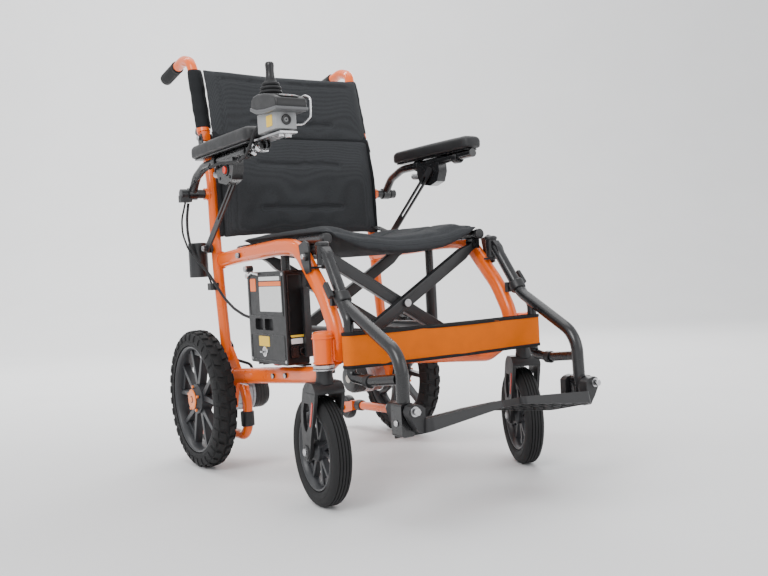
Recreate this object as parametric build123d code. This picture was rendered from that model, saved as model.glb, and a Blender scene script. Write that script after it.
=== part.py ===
from build123d import *
import os
from math import sin, cos, tan, atan2, radians, degrees, sqrt, pi

# Folding power wheelchair. Millimetres, +Z up, the chair faces -Y, the user's right is -X.
# Everything is laid out in a working frame whose X = 0 is the middle plane and Z = 0 the floor,
# then moved by SHIFT_X, SHIFT_Y so that the origin is the bottom centre of the bounding box.

# ---------------------------------------------------------------- driving dimensions
SHIFT_X, SHIFT_Y = -4.4, 75.5            # working frame to part frame
FRAME_X = 203.0           # side frame plane (rail tubes)
POST_X = 209.0            # back upright plane
TUBE_H, TUBE_W = 33.0, 24.0    # side frame oval tube, depth and width
POST_R = 12.0             # back upright and push handle tube radius

REAR_Y, REAR_R, REAR_W, REAR_X = 174.0, 152.0, 48.0, 265.0     # rear drive wheels
CAST_X, CAST_Y, CAST_R, CAST_W, CAST_TRAIL = 232.0, -335.0, 100.0, 37.0, 32.0
CAST_SWIVEL_R, CAST_SWIVEL_L = -5.7, -24.6     # stored swivel angles, degrees about +Z

FOLD_X, FOLD_Z0, FOLD_ZC, FOLD_Z1 = 180.0, 239.6, 349.0, 458.4   # scissor pivots
BAR_T, BAR_H = 16.0, 24.0
BAR_FRONT_B, BAR_FRONT_A = -254.0, -236.0      # middle planes of the front crossing bars
BAR_REAR_B, BAR_REAR_A = 14.0, -4.0            # middle planes of the rear crossing bars
PIN_R, RUN = 4.0, 0.06                         # pivot pins and their running clearance

SEAT_RAIL_R = 9.5
GUIDE_X, GUIDE_Y = 178.0, -100.0

BACK_HINGE_Y, BACK_HINGE_Z = 208.0, 735.0      # half-fold joint of the back
ARM_PIVOT_Y, ARM_PIVOT_Z = 184.0, 606.0        # armrest pivot
ARM_X = 256.0                                  # armrest tube plane
PAD_X, PAD_W, PAD_T, PAD_Y0, PAD_Y1 = 260.0, 48.0, 30.0, -182.0, 122.0
STRUT_Y, STRUT_Z, STRUT_X, STRUT_T = 160.0, 483.0, 237.5, 4.0

HANG_X, HANG_Y = 198.0, -292.0                 # hanger swing axis
FOOT_X, FOOT_Z = 199.0, 193.0                  # footplate flip axis
FOOT_TILT = 13.0
STRAP_X, STRAP_Y, STRAP_Z0, STRAP_Z1 = 210.0, -391.0, 251.0, 312.0

BAT_X0, BAT_X1, BAT_Y0, BAT_Y1, BAT_Z0, BAT_Z1 = -247.0, -201.0, -226.0, -64.0, 247.5, 425.0
KEY_Y, KEY_Z = -130.0, 270.0                    # battery key lock

os.makedirs("parts", exist_ok=True)
made = []


def out(name, *solids):
    """Move a sub-part into the part frame and write it."""
    flat = []
    for s in solids:
        flat += list(s.solids())
    moved = [Pos(SHIFT_X, SHIFT_Y, 0) * s for s in flat]
    shape = moved[0] if len(moved) == 1 else Compound(moved)
    export_step(shape, f"parts/{name}.step")
    made.append(name)


def both(name, *solids):
    """Write a right-hand sub-part (-X) and its mirror image (+X)."""
    out(name + "_right", *solids)
    out(name + "_left", *[mirror(s, about=Plane.YZ) for s in solids])


def box(x0, x1, y0, y1, z0, z1):
    return Pos((x0 + x1) / 2, (y0 + y1) / 2, (z0 + z1) / 2) * Box(abs(x1 - x0), abs(y1 - y0), abs(z1 - z0))


def rbox(x0, x1, y0, y1, z0, z1, r):
    b = box(x0, x1, y0, y1, z0, z1)
    return fillet(b.edges(), r)


def rod(p, q, r):
    """Cylinder from p to q."""
    p, q = Vector(*p), Vector(*q)
    d = q - p
    return extrude(Plane(origin=p, z_dir=d) * Circle(r), d.length)


def ring(p, q, r, ri):
    p, q = Vector(*p), Vector(*q)
    d = q - p
    pl = Plane(origin=p, z_dir=d)
    return extrude(pl * (Circle(r) - Circle(ri)), d.length)


def tube(pts, r, radii):
    """Round bar along straight runs joined by tangent arcs."""
    path = FilletPolyline(*pts, radius=radii) if len(pts) > 2 else Polyline(*pts)
    e = path.edges()
    start, d = path @ 0, path % 0
    return sweep(Plane(origin=start, z_dir=d) * Circle(r), path=path)


def flat_tube(x, pts, w, h, radii):
    """Oval tube that lies in the plane X = x; w across (along X), h deep."""
    p3 = [(x, y, z) for y, z in pts]
    path = FilletPolyline(*p3, radius=radii)
    d = path % 0
    pl = Plane(origin=path @ 0, x_dir=(1, 0, 0), z_dir=d)
    return sweep(pl * SlotOverall(h, w, rotation=90), path=path)


def prism_x(x0, x1, pts):
    """Polygon in the YZ plane, extruded from x0 to x1."""
    f = Plane(origin=(x0, 0, 0), x_dir=(0, 1, 0), z_dir=(1, 0, 0)) * make_face(Polyline(*pts, close=True))
    return extrude(f, x1 - x0)


def prism_y(y0, y1, pts):
    """Polygon in the XZ plane, extruded from y0 to y1 (y1 > y0)."""
    f = Plane(origin=(0, y1, 0), x_dir=(1, 0, 0), z_dir=(0, -1, 0)) * make_face(Polyline(*pts, close=True))
    return extrude(f, y1 - y0)


def bend(pts, limit):
    """Largest tangent-arc radius at each inner point: 0.45 of the shorter run, capped."""
    res = []
    for a, b, c in zip(pts, pts[1:], pts[2:]):
        u, v = Vector(*b) - Vector(*a), Vector(*c) - Vector(*b)
        t = tan(radians(u.get_angle(v)) / 2)
        res.append(min(limit, 0.45 * min(u.length, v.length) / t))
    return res


# ---------------------------------------------------------------- side frames (orange)
upright = tube([(-POST_X, 150, 232), (-POST_X, 171, 400), (-POST_X, 180, 520), (-POST_X, 182, 630),
                (-POST_X, BACK_HINGE_Y - 7.0, 707)], POST_R, [900, 700, 120])
rail_pts = [(174, 455), (57, 463), (-137, 471.5), (-212, 466), (-300, 374), (-337, 310), (-329, 262)]
rail = flat_tube(-FRAME_X, rail_pts, TUBE_W, TUBE_H, [900, 600, 75, 150, 70])
lower = flat_tube(-FRAME_X, [(136, 198), (60, 204), (-256, 229), (-328, 268)], TUBE_W, TUBE_H, [400, 60])
# motor plate: welded to the upright foot and the lower rail, holds the motor by a ring
plate = prism_x(-FRAME_X - 4, -FRAME_X + 4, [(164, 262), (138, 262), (96, 214), (112, 182), (130, 128), (218, 128), (214, 182)])
plate -= rod((-FRAME_X - 10, REAR_Y, REAR_R), (-FRAME_X + 10, REAR_Y, REAR_R), 37.5)
# caster stem housing and the weld block that joins it to the front tube
housing = ring((-CAST_X, CAST_Y, 258), (-CAST_X, CAST_Y, 306), 17.5, 8.1)
web = box(-CAST_X + 10, -FRAME_X + 4, -346, -314, 262, 300) - rod((-CAST_X, CAST_Y, 250), (-CAST_X, CAST_Y, 312), 16.5)
side = upright + rail + lower + plate + web
side = side - rod((-CAST_X, CAST_Y, 250), (-CAST_X, CAST_Y, 312), 17.4) + housing
# armrest boss on the upright
side += rod((-POST_X, ARM_PIVOT_Y, ARM_PIVOT_Z), (-POST_X - 19, ARM_PIVOT_Y, ARM_PIVOT_Z), 13)
both("side_frame", side)

# ---------------------------------------------------------------- fixed fittings (black and zinc-plated steel)
def fittings():
    s = []
    # half-fold joint: lower fork of two cheeks with the hinge pin
    y, z = BACK_HINGE_Y, BACK_HINGE_Z
    for x in (-POST_X - 13.5, -POST_X + 10.0):
        s.append(prism_x(x, x + 3.5, [(y - 20, z - 23.5), (y + 5, z - 23.5), (y + 10, z + 4), (y - 8, z + 9)]))
    body = s[0] + s[1] + rod((-POST_X - 16, y, z), (-POST_X + 16, y, z), PIN_R)
    body += box(-POST_X - 10.5, -POST_X + 10.5, y - 19, y + 4, z - 23.5, z - 19)
    s = [body]
    # strut pivot stud at the foot of the back, outboard
    s.append(rod((-POST_X - 12.3, STRUT_Y + 14, STRUT_Z), (-POST_X - 24, STRUT_Y + 14, STRUT_Z), 9)
             + prism_x(-POST_X - 24, -POST_X - 20, [(STRUT_Y - 9, STRUT_Z - 10), (STRUT_Y + 24, STRUT_Z - 10), (STRUT_Y + 24, STRUT_Z + 10), (STRUT_Y - 9, STRUT_Z + 10)])
             + rod((-POST_X - 22, STRUT_Y, STRUT_Z), (-STRUT_X - 10, STRUT_Y, STRUT_Z), PIN_R)
             + rod((-STRUT_X - 2.6, STRUT_Y, STRUT_Z), (-STRUT_X - 9, STRUT_Y, STRUT_Z), 7.5))
    # hanger bracket: plate on the front tube and the upright swing pin
    br = prism_x(-FRAME_X - 16, -FRAME_X - 12.3, [(-238, 470), (-262, 478), (-273, 473), (-277.5, 462), (-277.5, 420), (-262, 416), (-246, 438)])
    br += box(-FRAME_X - 16, -HANG_X + 6, -277.5, -273.6, 425.4, 429.4)
    br += box(-HANG_X - 8, -HANG_X + 6, HANG_Y - 8, -273.6, 425.4, 429.4)
    br += rod((-HANG_X, HANG_Y, 424), (-HANG_X, HANG_Y, 468), 4.0)
    br += rod((-FRAME_X - 16, -268, 448), (-FRAME_X - 22, -268, 448), 8)
    s.append(br)
    # lower catch block that the hanger rests against
    s.append(box(-FRAME_X - 9, -FRAME_X + 9, -342, -332.5, 358, 378) & rod((-HANG_X, HANG_Y, 350), (-HANG_X, HANG_Y, 390), 50.5))
    # guide sleeve for the seat rail's stem
    s.append(ring((-GUIDE_X, GUIDE_Y, 240), (-GUIDE_X, GUIDE_Y, 390), 12.5, 9.4)
             + ring((-GUIDE_X, GUIDE_Y, 380), (-GUIDE_X, GUIDE_Y, 392), 14.5, 9.4))
    # clevises for the foot of the crossing bars, front and rear
    for mid in lower_mid:
        c = None
        for y0 in (mid - BAR_T / 2 - 4.3, mid + BAR_T / 2 + 0.8):
            p = box(-190.7, -171, y0, y0 + 3.5, FOLD_Z0 - 10, FOLD_Z0 + 9)
            c = p if c is None else c + p
        c += rod((-FOLD_X, mid - BAR_T / 2 - 8, FOLD_Z0), (-FOLD_X, mid + BAR_T / 2 + 8, FOLD_Z0), PIN_R)
        s.append(c)
    # caster stem cap and bearing cup
    s.append(rod((-CAST_X, CAST_Y, 306.3), (-CAST_X, CAST_Y, 313), 15))
    # frame bolts and rivets
    for y, z in ((-94, 216), (-149, 221)):
        s.append(rod((-FRAME_X - 12.4, y, z), (-FRAME_X - 15.5, y, z), 5))
    s.append(rod((-FRAME_X - 12.4, 40, 462), (-FRAME_X - 16, 40, 462), 6))
    return s


lower_mid = (BAR_FRONT_B, BAR_REAR_B)        # the right foot carries bars "b"
fr = fittings()
# battery hangers on the right frame: front rail, foot hook and the upper lug
bat = [box(-213, -199.5, -237, -229, 262, 392)]
bat.append(box(-213, -195, -220, -190, 243.2, 247))
bat.append(rod((-FRAME_X - 12.4, -20, 432), (-FRAME_X - 26, -20, 432), 7))
# rear holder cap behind the right upright
cup = rod((-238, 216, 420), (-238, 216, 498), 21.5)
cup = fillet(cup.edges().filter_by(GeomType.CIRCLE), 2.5)
out("frame_fittings_right", *fr, *bat, cup)
lower_mid = (BAR_FRONT_A, BAR_REAR_A)        # the left foot carries bars "a"
out("frame_fittings_left", *[mirror(s, about=Plane.YZ) for s in fittings()])

# ---------------------------------------------------------------- drive motors
mx = REAR_R
motor = rod((-112, REAR_Y, mx), (-122, REAR_Y, mx), 33) + rod((-122, REAR_Y, mx), (-150, REAR_Y, mx), 36)
motor += rod((-150, REAR_Y, mx), (-198.6, REAR_Y, mx), 37) + rod((-198.6, REAR_Y, mx), (-207.4, REAR_Y, mx), 37.3)
motor += rod((-207.4, REAR_Y, mx), (-232, REAR_Y, mx), 45) + rod((-232, REAR_Y, mx), (-291, REAR_Y, mx), 8)
both("motor", motor)

# anti-tip tubes, from the motor plate down and back, with the wheel fork at the end
tip_pts = [(-FRAME_X, 84, 178), (-FRAME_X, 69, 150), (-FRAME_X, 72, 72), (-FRAME_X, 140, 70), (-FRAME_X, 296, 64)]
tip = tube(tip_pts, 10.5, [40, 34, 200])
tip = prism_x(-FRAME_X - 3, -FRAME_X + 3, [(62, 172), (98, 172), (98, 183), (62, 183)]) + tip
arm_l = prism_x(-FRAME_X - 15.5, -FRAME_X - 12, [(290, 52), (290, 76), (330, 70), (346, 63), (346, 47), (330, 42)])
arm_r = prism_x(-FRAME_X + 12, -FRAME_X + 15.5, [(290, 52), (290, 76), (330, 70), (346, 63), (346, 47), (330, 42)])
tip += arm_l + arm_r + box(-FRAME_X - 15, -FRAME_X + 15, 290, 300, 52, 76)
tip += rod((-FRAME_X - 18, 335, 55), (-FRAME_X + 18, 335, 55), PIN_R)
both("anti_tip_tube", tip)
tw = ring((-FRAME_X - 11, 335, 55), (-FRAME_X + 11, 335, 55), 31, PIN_R + RUN)
tw = fillet(tw.edges().filter_by(lambda e: e.radius > 20 if e.geom_type == GeomType.CIRCLE else False), 7)
both("anti_tip_wheel", tw)

# ---------------------------------------------------------------- drive wheels
def wheel_tyre(x, y, z, r, w, ri, fil):
    t = ring((x - w / 2, y, z), (x + w / 2, y, z), r, ri)
    es = [e for e in t.edges() if e.geom_type == GeomType.CIRCLE and abs(e.radius - r) < 0.01]
    return fillet(es, fil)


def spoked_rim(x, y, z, ro, w, r_hub, hub_w, bore, n, arm, arm_w):
    """Rim band, hub and n twin spokes, axis along X."""
    c = Vector(x, y, z)
    band = ring((x - w / 2, y, z), (x + w / 2, y, z), ro, ro - 9)
    hub = ring((x - hub_w / 2, y, z), (x + hub_w / 2, y, z), r_hub, bore)
    rim = band + hub
    for k in range(n):
        for s in (-1, 1):
            a = radians(360 / n * k + s * 13)
            b = radians(360 / n * k + s * 5)
            p = Vector(0, cos(b), sin(b)) * (r_hub - 6)
            q = Vector(0, cos(a), sin(a)) * (ro - 5)
            d = q - p
            m = (p + q) * 0.5 + c
            pl = Plane(origin=m, x_dir=d, z_dir=(1, 0, 0))
            rim += extrude(pl * Rectangle(d.length, arm), arm_w / 2, both=True)
    return rim - rod((x - hub_w, y, z), (x + hub_w, y, z), bore)


tyre = wheel_tyre(-REAR_X, REAR_Y, REAR_R, REAR_R, REAR_W, 118, 15)
both("drive_tyre", tyre)
rim = spoked_rim(-REAR_X, REAR_Y, REAR_R, 117.9, 40, 34, 44, 8 + RUN, 5, 9, 16)
rim = rim - rod((-243.5, REAR_Y, REAR_R), (-230, REAR_Y, REAR_R), 60)
both("drive_rim", rim)

# ---------------------------------------------------------------- casters
def caster(sx, ang):
    """Fork, rim and tyre of one caster, turned by ang about its stem."""
    t = Pos(sx * CAST_X, CAST_Y, 0) * Rot(0, 0, ang)
    ty, tz = CAST_TRAIL, CAST_R
    fork = rod((0, 0, 225), (0, 0, 257.5), 15) + rod((0, 0, 257), (0, 0, 304), 8.0)
    fork += prism_x(-29, 29, [(-22, 212), (-14, 226), (24, 226), (36, 212), (36, 206), (-22, 206)])
    for s in (-1, 1):
        x0 = s * 22.5
        leg = prism_x(min(x0, x0 + s * 6.5), max(x0, x0 + s * 6.5),
                      [(-20, 211), (36, 211), (50, 160), (ty + 15, tz - 8), (ty + 8, tz - 15), (ty - 8, tz - 15), (ty - 15, tz - 6), (0, 150)])
        leg -= prism_x(min(x0, x0 + s * 6.5) - 1, max(x0, x0 + s * 6.5) + 1, [(12, 178), (34, 178), (38, 156), (22, 146)])
        fork += leg
    fork += rod((-33, ty, tz), (33, ty, tz), 5)
    ctyre = wheel_tyre(0, ty, tz, CAST_R, CAST_W, 72, 12)
    crim = spoked_rim(0, ty, tz, 71.9, 32, 20, 42, 5 + RUN, 5, 7, 12)
    return [t * s for s in (fork, crim, ctyre)]


for side_name, sx, ang in (("right", -1, CAST_SWIVEL_R), ("left", 1, CAST_SWIVEL_L)):
    fork, crim, ctyre = caster(sx, ang)
    out("caster_fork_" + side_name, fork)
    out("caster_rim_" + side_name, crim)
    out("caster_tyre_" + side_name, ctyre)

# ---------------------------------------------------------------- crossing bars and seat rails
def bar(x0, z0, x1, z1, mid, holes):
    """Flat-sided crossing bar with narrowed ends, from pivot to pivot."""
    d = Vector(x1 - x0, 0, z1 - z0)
    L = d.length
    a = degrees(atan2(z1 - z0, x1 - x0))
    h, e = BAR_H / 2, 7.5
    pts = [(-6, -e * .6), (-e, 0), (-6, e * .6), (0, e), (16, e), (36, h), (L - 36, h), (L - 16, e), (L, e),
           (L + 6, e * .6), (L + e, 0), (L + 6, -e * .6), (L, -e), (L - 16, -e), (L - 36, -h), (36, -h), (16, -e), (0, -e)]
    ca, sa = cos(radians(a)), sin(radians(a))
    pts = [(x0 + u * ca - v * sa, z0 + u * sa + v * ca) for u, v in pts]
    b = prism_y(mid - BAR_T / 2, mid + BAR_T / 2, pts)
    for x, z in holes:
        b -= rod((x, mid - 20, z), (x, mid + 20, z), PIN_R + RUN)
    return b


def cross(sign, front, rear):
    bars = [bar(sign * FOLD_X, FOLD_Z0, -sign * FOLD_X, FOLD_Z1, m,
                [(sign * FOLD_X, FOLD_Z0), (0, FOLD_ZC), (-sign * FOLD_X, FOLD_Z1)]) for m in (front, rear)]
    return bars


# bars "b": foot on the right frame, head under the left seat rail; they carry the centre bolts
bars_b = cross(-1, BAR_FRONT_B, BAR_REAR_B)
bolts = []
for fb, fa in ((BAR_FRONT_B, BAR_FRONT_A), (BAR_REAR_B, BAR_REAR_A)):
    lo, hi = min(fb, fa) - BAR_T / 2 - 4, max(fb, fa) + BAR_T / 2 + 4
    s = rod((0, lo, FOLD_ZC), (0, hi, FOLD_ZC), PIN_R) + rod((0, lo - 3, FOLD_ZC), (0, lo, FOLD_ZC), 7.5) + rod((0, hi, FOLD_ZC), (0, hi + 3, FOLD_ZC), 7.5)
    bolts.append(s)
# a tie tube joins the front and rear bar of each pair so that they move as one
tie_b = rod((-86 * 1.0, BAR_FRONT_B + BAR_T / 2, FOLD_ZC - 86 * 0.6078), (-86, BAR_REAR_B - BAR_T / 2, FOLD_ZC - 86 * 0.6078), 8)
tie_a = rod((86, BAR_FRONT_A + BAR_T / 2, FOLD_ZC - 86 * 0.6078), (86, BAR_REAR_A - BAR_T / 2, FOLD_ZC - 86 * 0.6078), 8)
out("crossing_bars_b", bars_b[0] + bars_b[1] + tie_b)
bars_a = cross(1, BAR_FRONT_A, BAR_REAR_A)
out("crossing_bars_a", bars_a[0] + bars_a[1] + tie_a)
out("crossing_bolts", *bolts)


def seat_rail(front, rear):
    """Right seat rail: tube, end caps, clevises for the bar heads and the guide stem."""
    x = -FOLD_X
    r = rod((x, -276, 479.5), (x, 112, 476.5), SEAT_RAIL_R)
    for mid in (front, rear):
        for y0 in (mid - BAR_T / 2 - 4.3, mid + BAR_T / 2 + 0.8):
            r += box(x - 8, x + 8, y0, y0 + 3.5, FOLD_Z1 - 8, 474)
        r += rod((x, mid - BAR_T / 2 - 8, FOLD_Z1), (x, mid + BAR_T / 2 + 8, FOLD_Z1), PIN_R)
    r += rod((-GUIDE_X, GUIDE_Y, 236), (-GUIDE_X, GUIDE_Y, 472), 9.0)
    return r


out("seat_rail_right", seat_rail(BAR_FRONT_A, BAR_REAR_A))
out("seat_rail_left", mirror(seat_rail(BAR_FRONT_B, BAR_REAR_B), about=Plane.YZ))

# ---------------------------------------------------------------- seat (soft)
def seat_section(y, lift):
    top = [(-186, 499), (-150, 488), (-100, 480), (-50, 475), (0, 473), (50, 475), (100, 480), (150, 488), (186, 499)]
    bot = [(186, 492), (170, 491), (160, 485), (140, 473), (100, 456), (50, 448), (0, 445), (-50, 448), (-100, 456), (-140, 473), (-160, 485), (-170, 491), (-186, 492)]
    return [(a, b + lift) for a, b in top + bot]


out("seat_cushion", prism_y(-288, 104, seat_section(0, 0)))

# ---------------------------------------------------------------- back: lower half, upper half
def slab(x0, x1, line, t):
    """Panel between x0 and x1 whose side view follows the line of (y, z) points, t thick."""
    fwd = [(y - t / 2, z) for y, z in line]
    bck = [(y + t / 2, z) for y, z in reversed(line)]
    return prism_x(x0, x1, fwd + bck)


out("back_panel_lower", slab(-205, 205, [(153, 505), (157, 640), (172, 700), (175, 733)], 25))
out("back_panel_upper", slab(-205, 205, [(176.5, 737), (182, 750), (195.5, 800), (220, 892)], 25))

by, bz = BACK_HINGE_Y, BACK_HINGE_Z
post_pts = [(-POST_X, by + 3.0, bz + 13), (-POST_X, 248, 887), (-213, 260, 918), (-213, 300, 931), (-213, 340, 925)]
post = tube(post_pts, POST_R, [260, 26, 60])
lug = prism_x(-POST_X - 9.7, -POST_X + 9.7, [(by - 8, bz - 8), (by + 8, bz - 8), (by + 14, bz + 16), (by - 8, bz + 18)])
lug = fillet(lug.edges().filter_by(Axis.X), 3.5)
post = post + lug - rod((-POST_X - 20, by, bz), (-POST_X + 20, by, bz), PIN_R + RUN)
both("back_post", post)
grip = extrude(Plane(origin=Vector(-213, 342.5, 924.6), z_dir=(0, 1, -0.148)) * Circle(15), 86)
both("push_grip", grip)

# half-fold release lever behind each post, on a small pivot
lever = prism_x(-POST_X - 5.5, -POST_X + 5.5, [(by + 22, bz + 24), (by + 41, bz + 30), (by + 47, bz + 18), (by + 33, bz + 8), (by + 24, bz + 5)])
both("back_release_lever", lever)

# ---------------------------------------------------------------- armrests
ap = (ARM_PIVOT_Y, ARM_PIVOT_Z)
arm_pts = [(-ARM_X, ap[0], ap[1]), (-ARM_X, 152, 640), (-ARM_X, 104, 657), (-ARM_X, 40, 658), (-ARM_X, -176, 662)]
armtube = tube(arm_pts, 9.5, [40, 60, 300])
hub = rod((-POST_X - 37.5, ap[0], ap[1]), (-ARM_X - 10, ap[0], ap[1]), 13.5)
armtube = armtube + hub - rod((-200, ap[0], ap[1]), (-300, ap[0], ap[1]), PIN_R + 4 + RUN)
# latch housing, outboard of the strut, with the button bore
house = prism_x(-ARM_X - 9, -STRUT_X - 4.2, [(-66, 655), (14, 655), (20, 640), (10, 612), (-30, 604), (-58, 612), (-68, 634)])
arm = armtube + house - rod((-300, -32, 634), (-STRUT_X - 7, -32, 634), 8.06)
# spring plunger barrel
arm += rod((-ARM_X + 3, 4, 629), (-ARM_X + 3, 52, 634), 5.5)
both("armrest_frame", arm)
# the armrest pivot bolt stands on the frame boss; it carries a round knob
bolt = rod((-POST_X - 19.2, ap[0], ap[1]), (-ARM_X - 14, ap[0], ap[1]), PIN_R + 4) + rod((-ARM_X - 14, ap[0], ap[1]), (-ARM_X - 27, ap[0], ap[1]), 11)
bolt = bolt + ring((-POST_X - 19.2, ap[0], ap[1]), (-POST_X - 37, ap[0], ap[1]), 10, 7)
both("armrest_pivot_bolt", bolt)
pad = rbox(-PAD_X - PAD_W / 2, -PAD_X + PAD_W / 2, PAD_Y0, PAD_Y1, 672, 672 + PAD_T, 9)
both("armrest_pad", pad)
button = rod((-STRUT_X - 11.2, -32, 634), (-ARM_X - 14, -32, 634), 8.0)
both("armrest_button", button)
# slotted strut between the foot of the back and the latch
sd = Vector(0, -32 - STRUT_Y, 634 - STRUT_Z)
L = sd.length
spl = Plane(origin=Vector(-STRUT_X - STRUT_T / 2, STRUT_Y, STRUT_Z), x_dir=sd, z_dir=(1, 0, 0))
strut = extrude(spl * (Pos(L / 2 + 2, 0) * SlotOverall(L + 24, 18) - Circle(PIN_R + RUN) - Pos(L / 2 + 40, 0) * SlotOverall(L * 0.56, 6.5)), STRUT_T)
both("armrest_strut", strut)

# ---------------------------------------------------------------- joystick controller on the right armrest
CX0, CX1, CY0, CY1 = -287.0, -225.0, -314.0, -211.0
upper = prism_x(CX0, CX1, [(CY0, 708), (CY0, 727), (CY0 + 30, 738), (CY1 - 18, 745), (CY1, 738), (CY1, 722), (CY1 - 25, 713)])
upper = fillet(upper.edges().filter_by(Axis.X), 5)
lowerb = box(CX0 + 8, CX1 - 10, CY0 + 22, CY1 - 6, 676, 716)
ctl = upper + lowerb
JX, JY, JZ = -256.0, -236.0, 742.0
ctl -= rod((JX, JY, 719), (JX, JY, 760), 20)
out("controller_housing", ctl)
br = box(-272, -238, -296, -186, 668, 671.5) + box(-262, -250, -200, -186, 648, 671)
br = br - rod((-ARM_X, -170, 662), (-ARM_X, -210, 662), 9.6)
out("controller_bracket", br)
gim = ring((JX, JY, 726), (JX, JY, 732), 15, 10)
out("joystick_gimbal", gim)
stick = rod((JX, JY, 727), (JX, JY, 770), 3.5) + rod((JX, JY, 768), (JX, JY, 806), 8.5)
stick = stick + rod((JX, JY, 727), (JX, JY, 731), 9.0)
out("joystick_stick", stick)
gait = Pos(JX, JY, 745.5) * Cone(19, 8, 22, align=(Align.CENTER, Align.CENTER, Align.MIN)) - rod((JX, JY, 740), (JX, JY, 772), 4.4)
out("joystick_gaiter", gait)
# ---------------------------------------------------------------- cables (held all the way)
cab1 = [(-274, -215.2, 692), (-277, -201, 684), (-280, -190, 664), (-277, -160, 647), (-273, -112, 640), (-273, -70, 643), (-274, -20, 648), (-274, 30, 646), (-273, 80, 640), (-270, 126, 628), (-268, 160, 618)]
r1 = bend(cab1, 90)
cab2 = [(-262, 196, 586), (-263, 207, 556), (-264, 206, 522), (-264, 192, 488), (-254, 178, 456), (-238, 160, 428), (-230, 139, 400), (-225, 110, 372), (-223, 66, 350), (-223, 18, 337), (-223, -30, 330), (-223, -63.6, 328)]
r2 = bend(cab2, 90)
print("controller lead radii", [round(v, 1) for v in r1])
print("frame lead radii", [round(v, 1) for v in r2])
out("controller_lead", tube(cab1, 3.0, r1))
out("frame_lead", tube(cab2, 3.0, r2))

# ---------------------------------------------------------------- battery box
bb = box(BAT_X0, BAT_X1, BAT_Y0, BAT_Y1, BAT_Z0, BAT_Z1)
bb = fillet(bb.edges().filter_by(Axis.Y), 4)
bb -= box(BAT_X0 - 1, BAT_X0 + 9, -172, -134, 312, 334) + box(BAT_X0 - 1, BAT_X0 + 9, -128, -92, 312, 334)
bb -= rod((BAT_X0 - 1, KEY_Y, KEY_Z), (BAT_X0 + 10, KEY_Y, KEY_Z), 7.06)
out("battery_box", bb)
out("battery_key", rod((BAT_X0 - 2.5, KEY_Y, KEY_Z), (BAT_X0 + 9, KEY_Y, KEY_Z), 7) + box(BAT_X0 - 9, BAT_X0 - 2.5, KEY_Y - 5, KEY_Y + 5, KEY_Z - 1.5, KEY_Z + 1.5))

# ---------------------------------------------------------------- hangers and footplates
hx = -HANG_X
main_pts = [(hx, -306, 450), (-202, -371, 357), (-195, -524, 278), (-196, -527, 172)]
mainr = bend(main_pts, 60)
main = tube(main_pts, 11, [60, 55])
sleeve = ring((hx, HANG_Y, 430), (hx, HANG_Y, 466), 11.5, 4.0 + RUN)
link = prism_x(hx - 8, hx + 8, [(-301, 432), (-301, 462), (-306, 464), (-318, 452), (-326, 432)])
brace_pts = [(-206, -350, 382), (-210, -391, 334), (-210, -391, 236), (-206, -440, 232), (-198, -516, 240)]
brace = tube(brace_pts, 9, [20, 14, 120])
hanger = main + sleeve + link + brace - rod((hx, HANG_Y, 420), (hx, HANG_Y, 480), 4.0 + RUN)
blk = box(-211, -186, -541, -511, 150, 204)
blk = fillet(blk.edges().filter_by(Axis.Y), 5)
hanger = hanger + blk + rod((-FOOT_X, -567, FOOT_Z), (-FOOT_X, -489, FOOT_Z), PIN_R + 1)
both("hanger", hanger)
FZ = FOOT_Z
fp = prism_y(-572, -458, [(-182, 181), (-182, 159), (-160, 159.5), (-15, 179), (-15, 191)])
fp = fillet([e for e in fp.edges() if e.center().X > -30 and abs(e.length - 12) < 1], 5)
fp = Pos(0, -572, 172) * (Rot(-FOOT_TILT, 0, 0) * (Pos(0, 572, -172) * fp))
for y0, y1 in ((-561, -544), (-508, -494)):
    zz = 160 if y0 < -530 else 150
    ear = prism_y(y0, y1, [(-178, zz - 4), (-178, FZ + 4), (-190, FZ + 9.5), (-FOOT_X - 7, FZ + 8), (-FOOT_X - 11, FZ), (-FOOT_X - 9, FZ - 8), (-190, zz - 2)])
    fp += ear
fp -= rod((-FOOT_X, -600, FZ), (-FOOT_X, -440, FZ), PIN_R + 1 + RUN)
fp -= box(-214, -183.5, -543.6, -508.4, 120, 240)
# the inner end is cut back towards the rear so the two plates pass as they fold up
fp -= extrude(Pos(0, 0, 100) * make_face(Polyline((-17, -576), (-33, -444), (0, -444), (0, -576), close=True)), 140)
both("footplate", fp)

# hanger release levers
both("hanger_release_lever", prism_x(-227, -219, [(-343, 402), (-335, 395), (-354, 370), (-363, 377)]))

# ---------------------------------------------------------------- calf strap (soft): a loop round both brace tubes
outer = Pos(0, STRAP_Y, STRAP_Z0) * extrude(SlotCenterToCenter(2 * STRAP_X, 26), STRAP_Z1 - STRAP_Z0)
inner = Pos(0, STRAP_Y, STRAP_Z0 - 1) * extrude(SlotCenterToCenter(2 * STRAP_X, 21.5), STRAP_Z1 - STRAP_Z0 + 2)
out("calf_strap", outer - inner)

print(len(made), "nodes:", ", ".join(made))
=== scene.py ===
import bpy
import bmesh
import math
import numpy as np
from mathutils import Vector, Matrix, geometry


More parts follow.
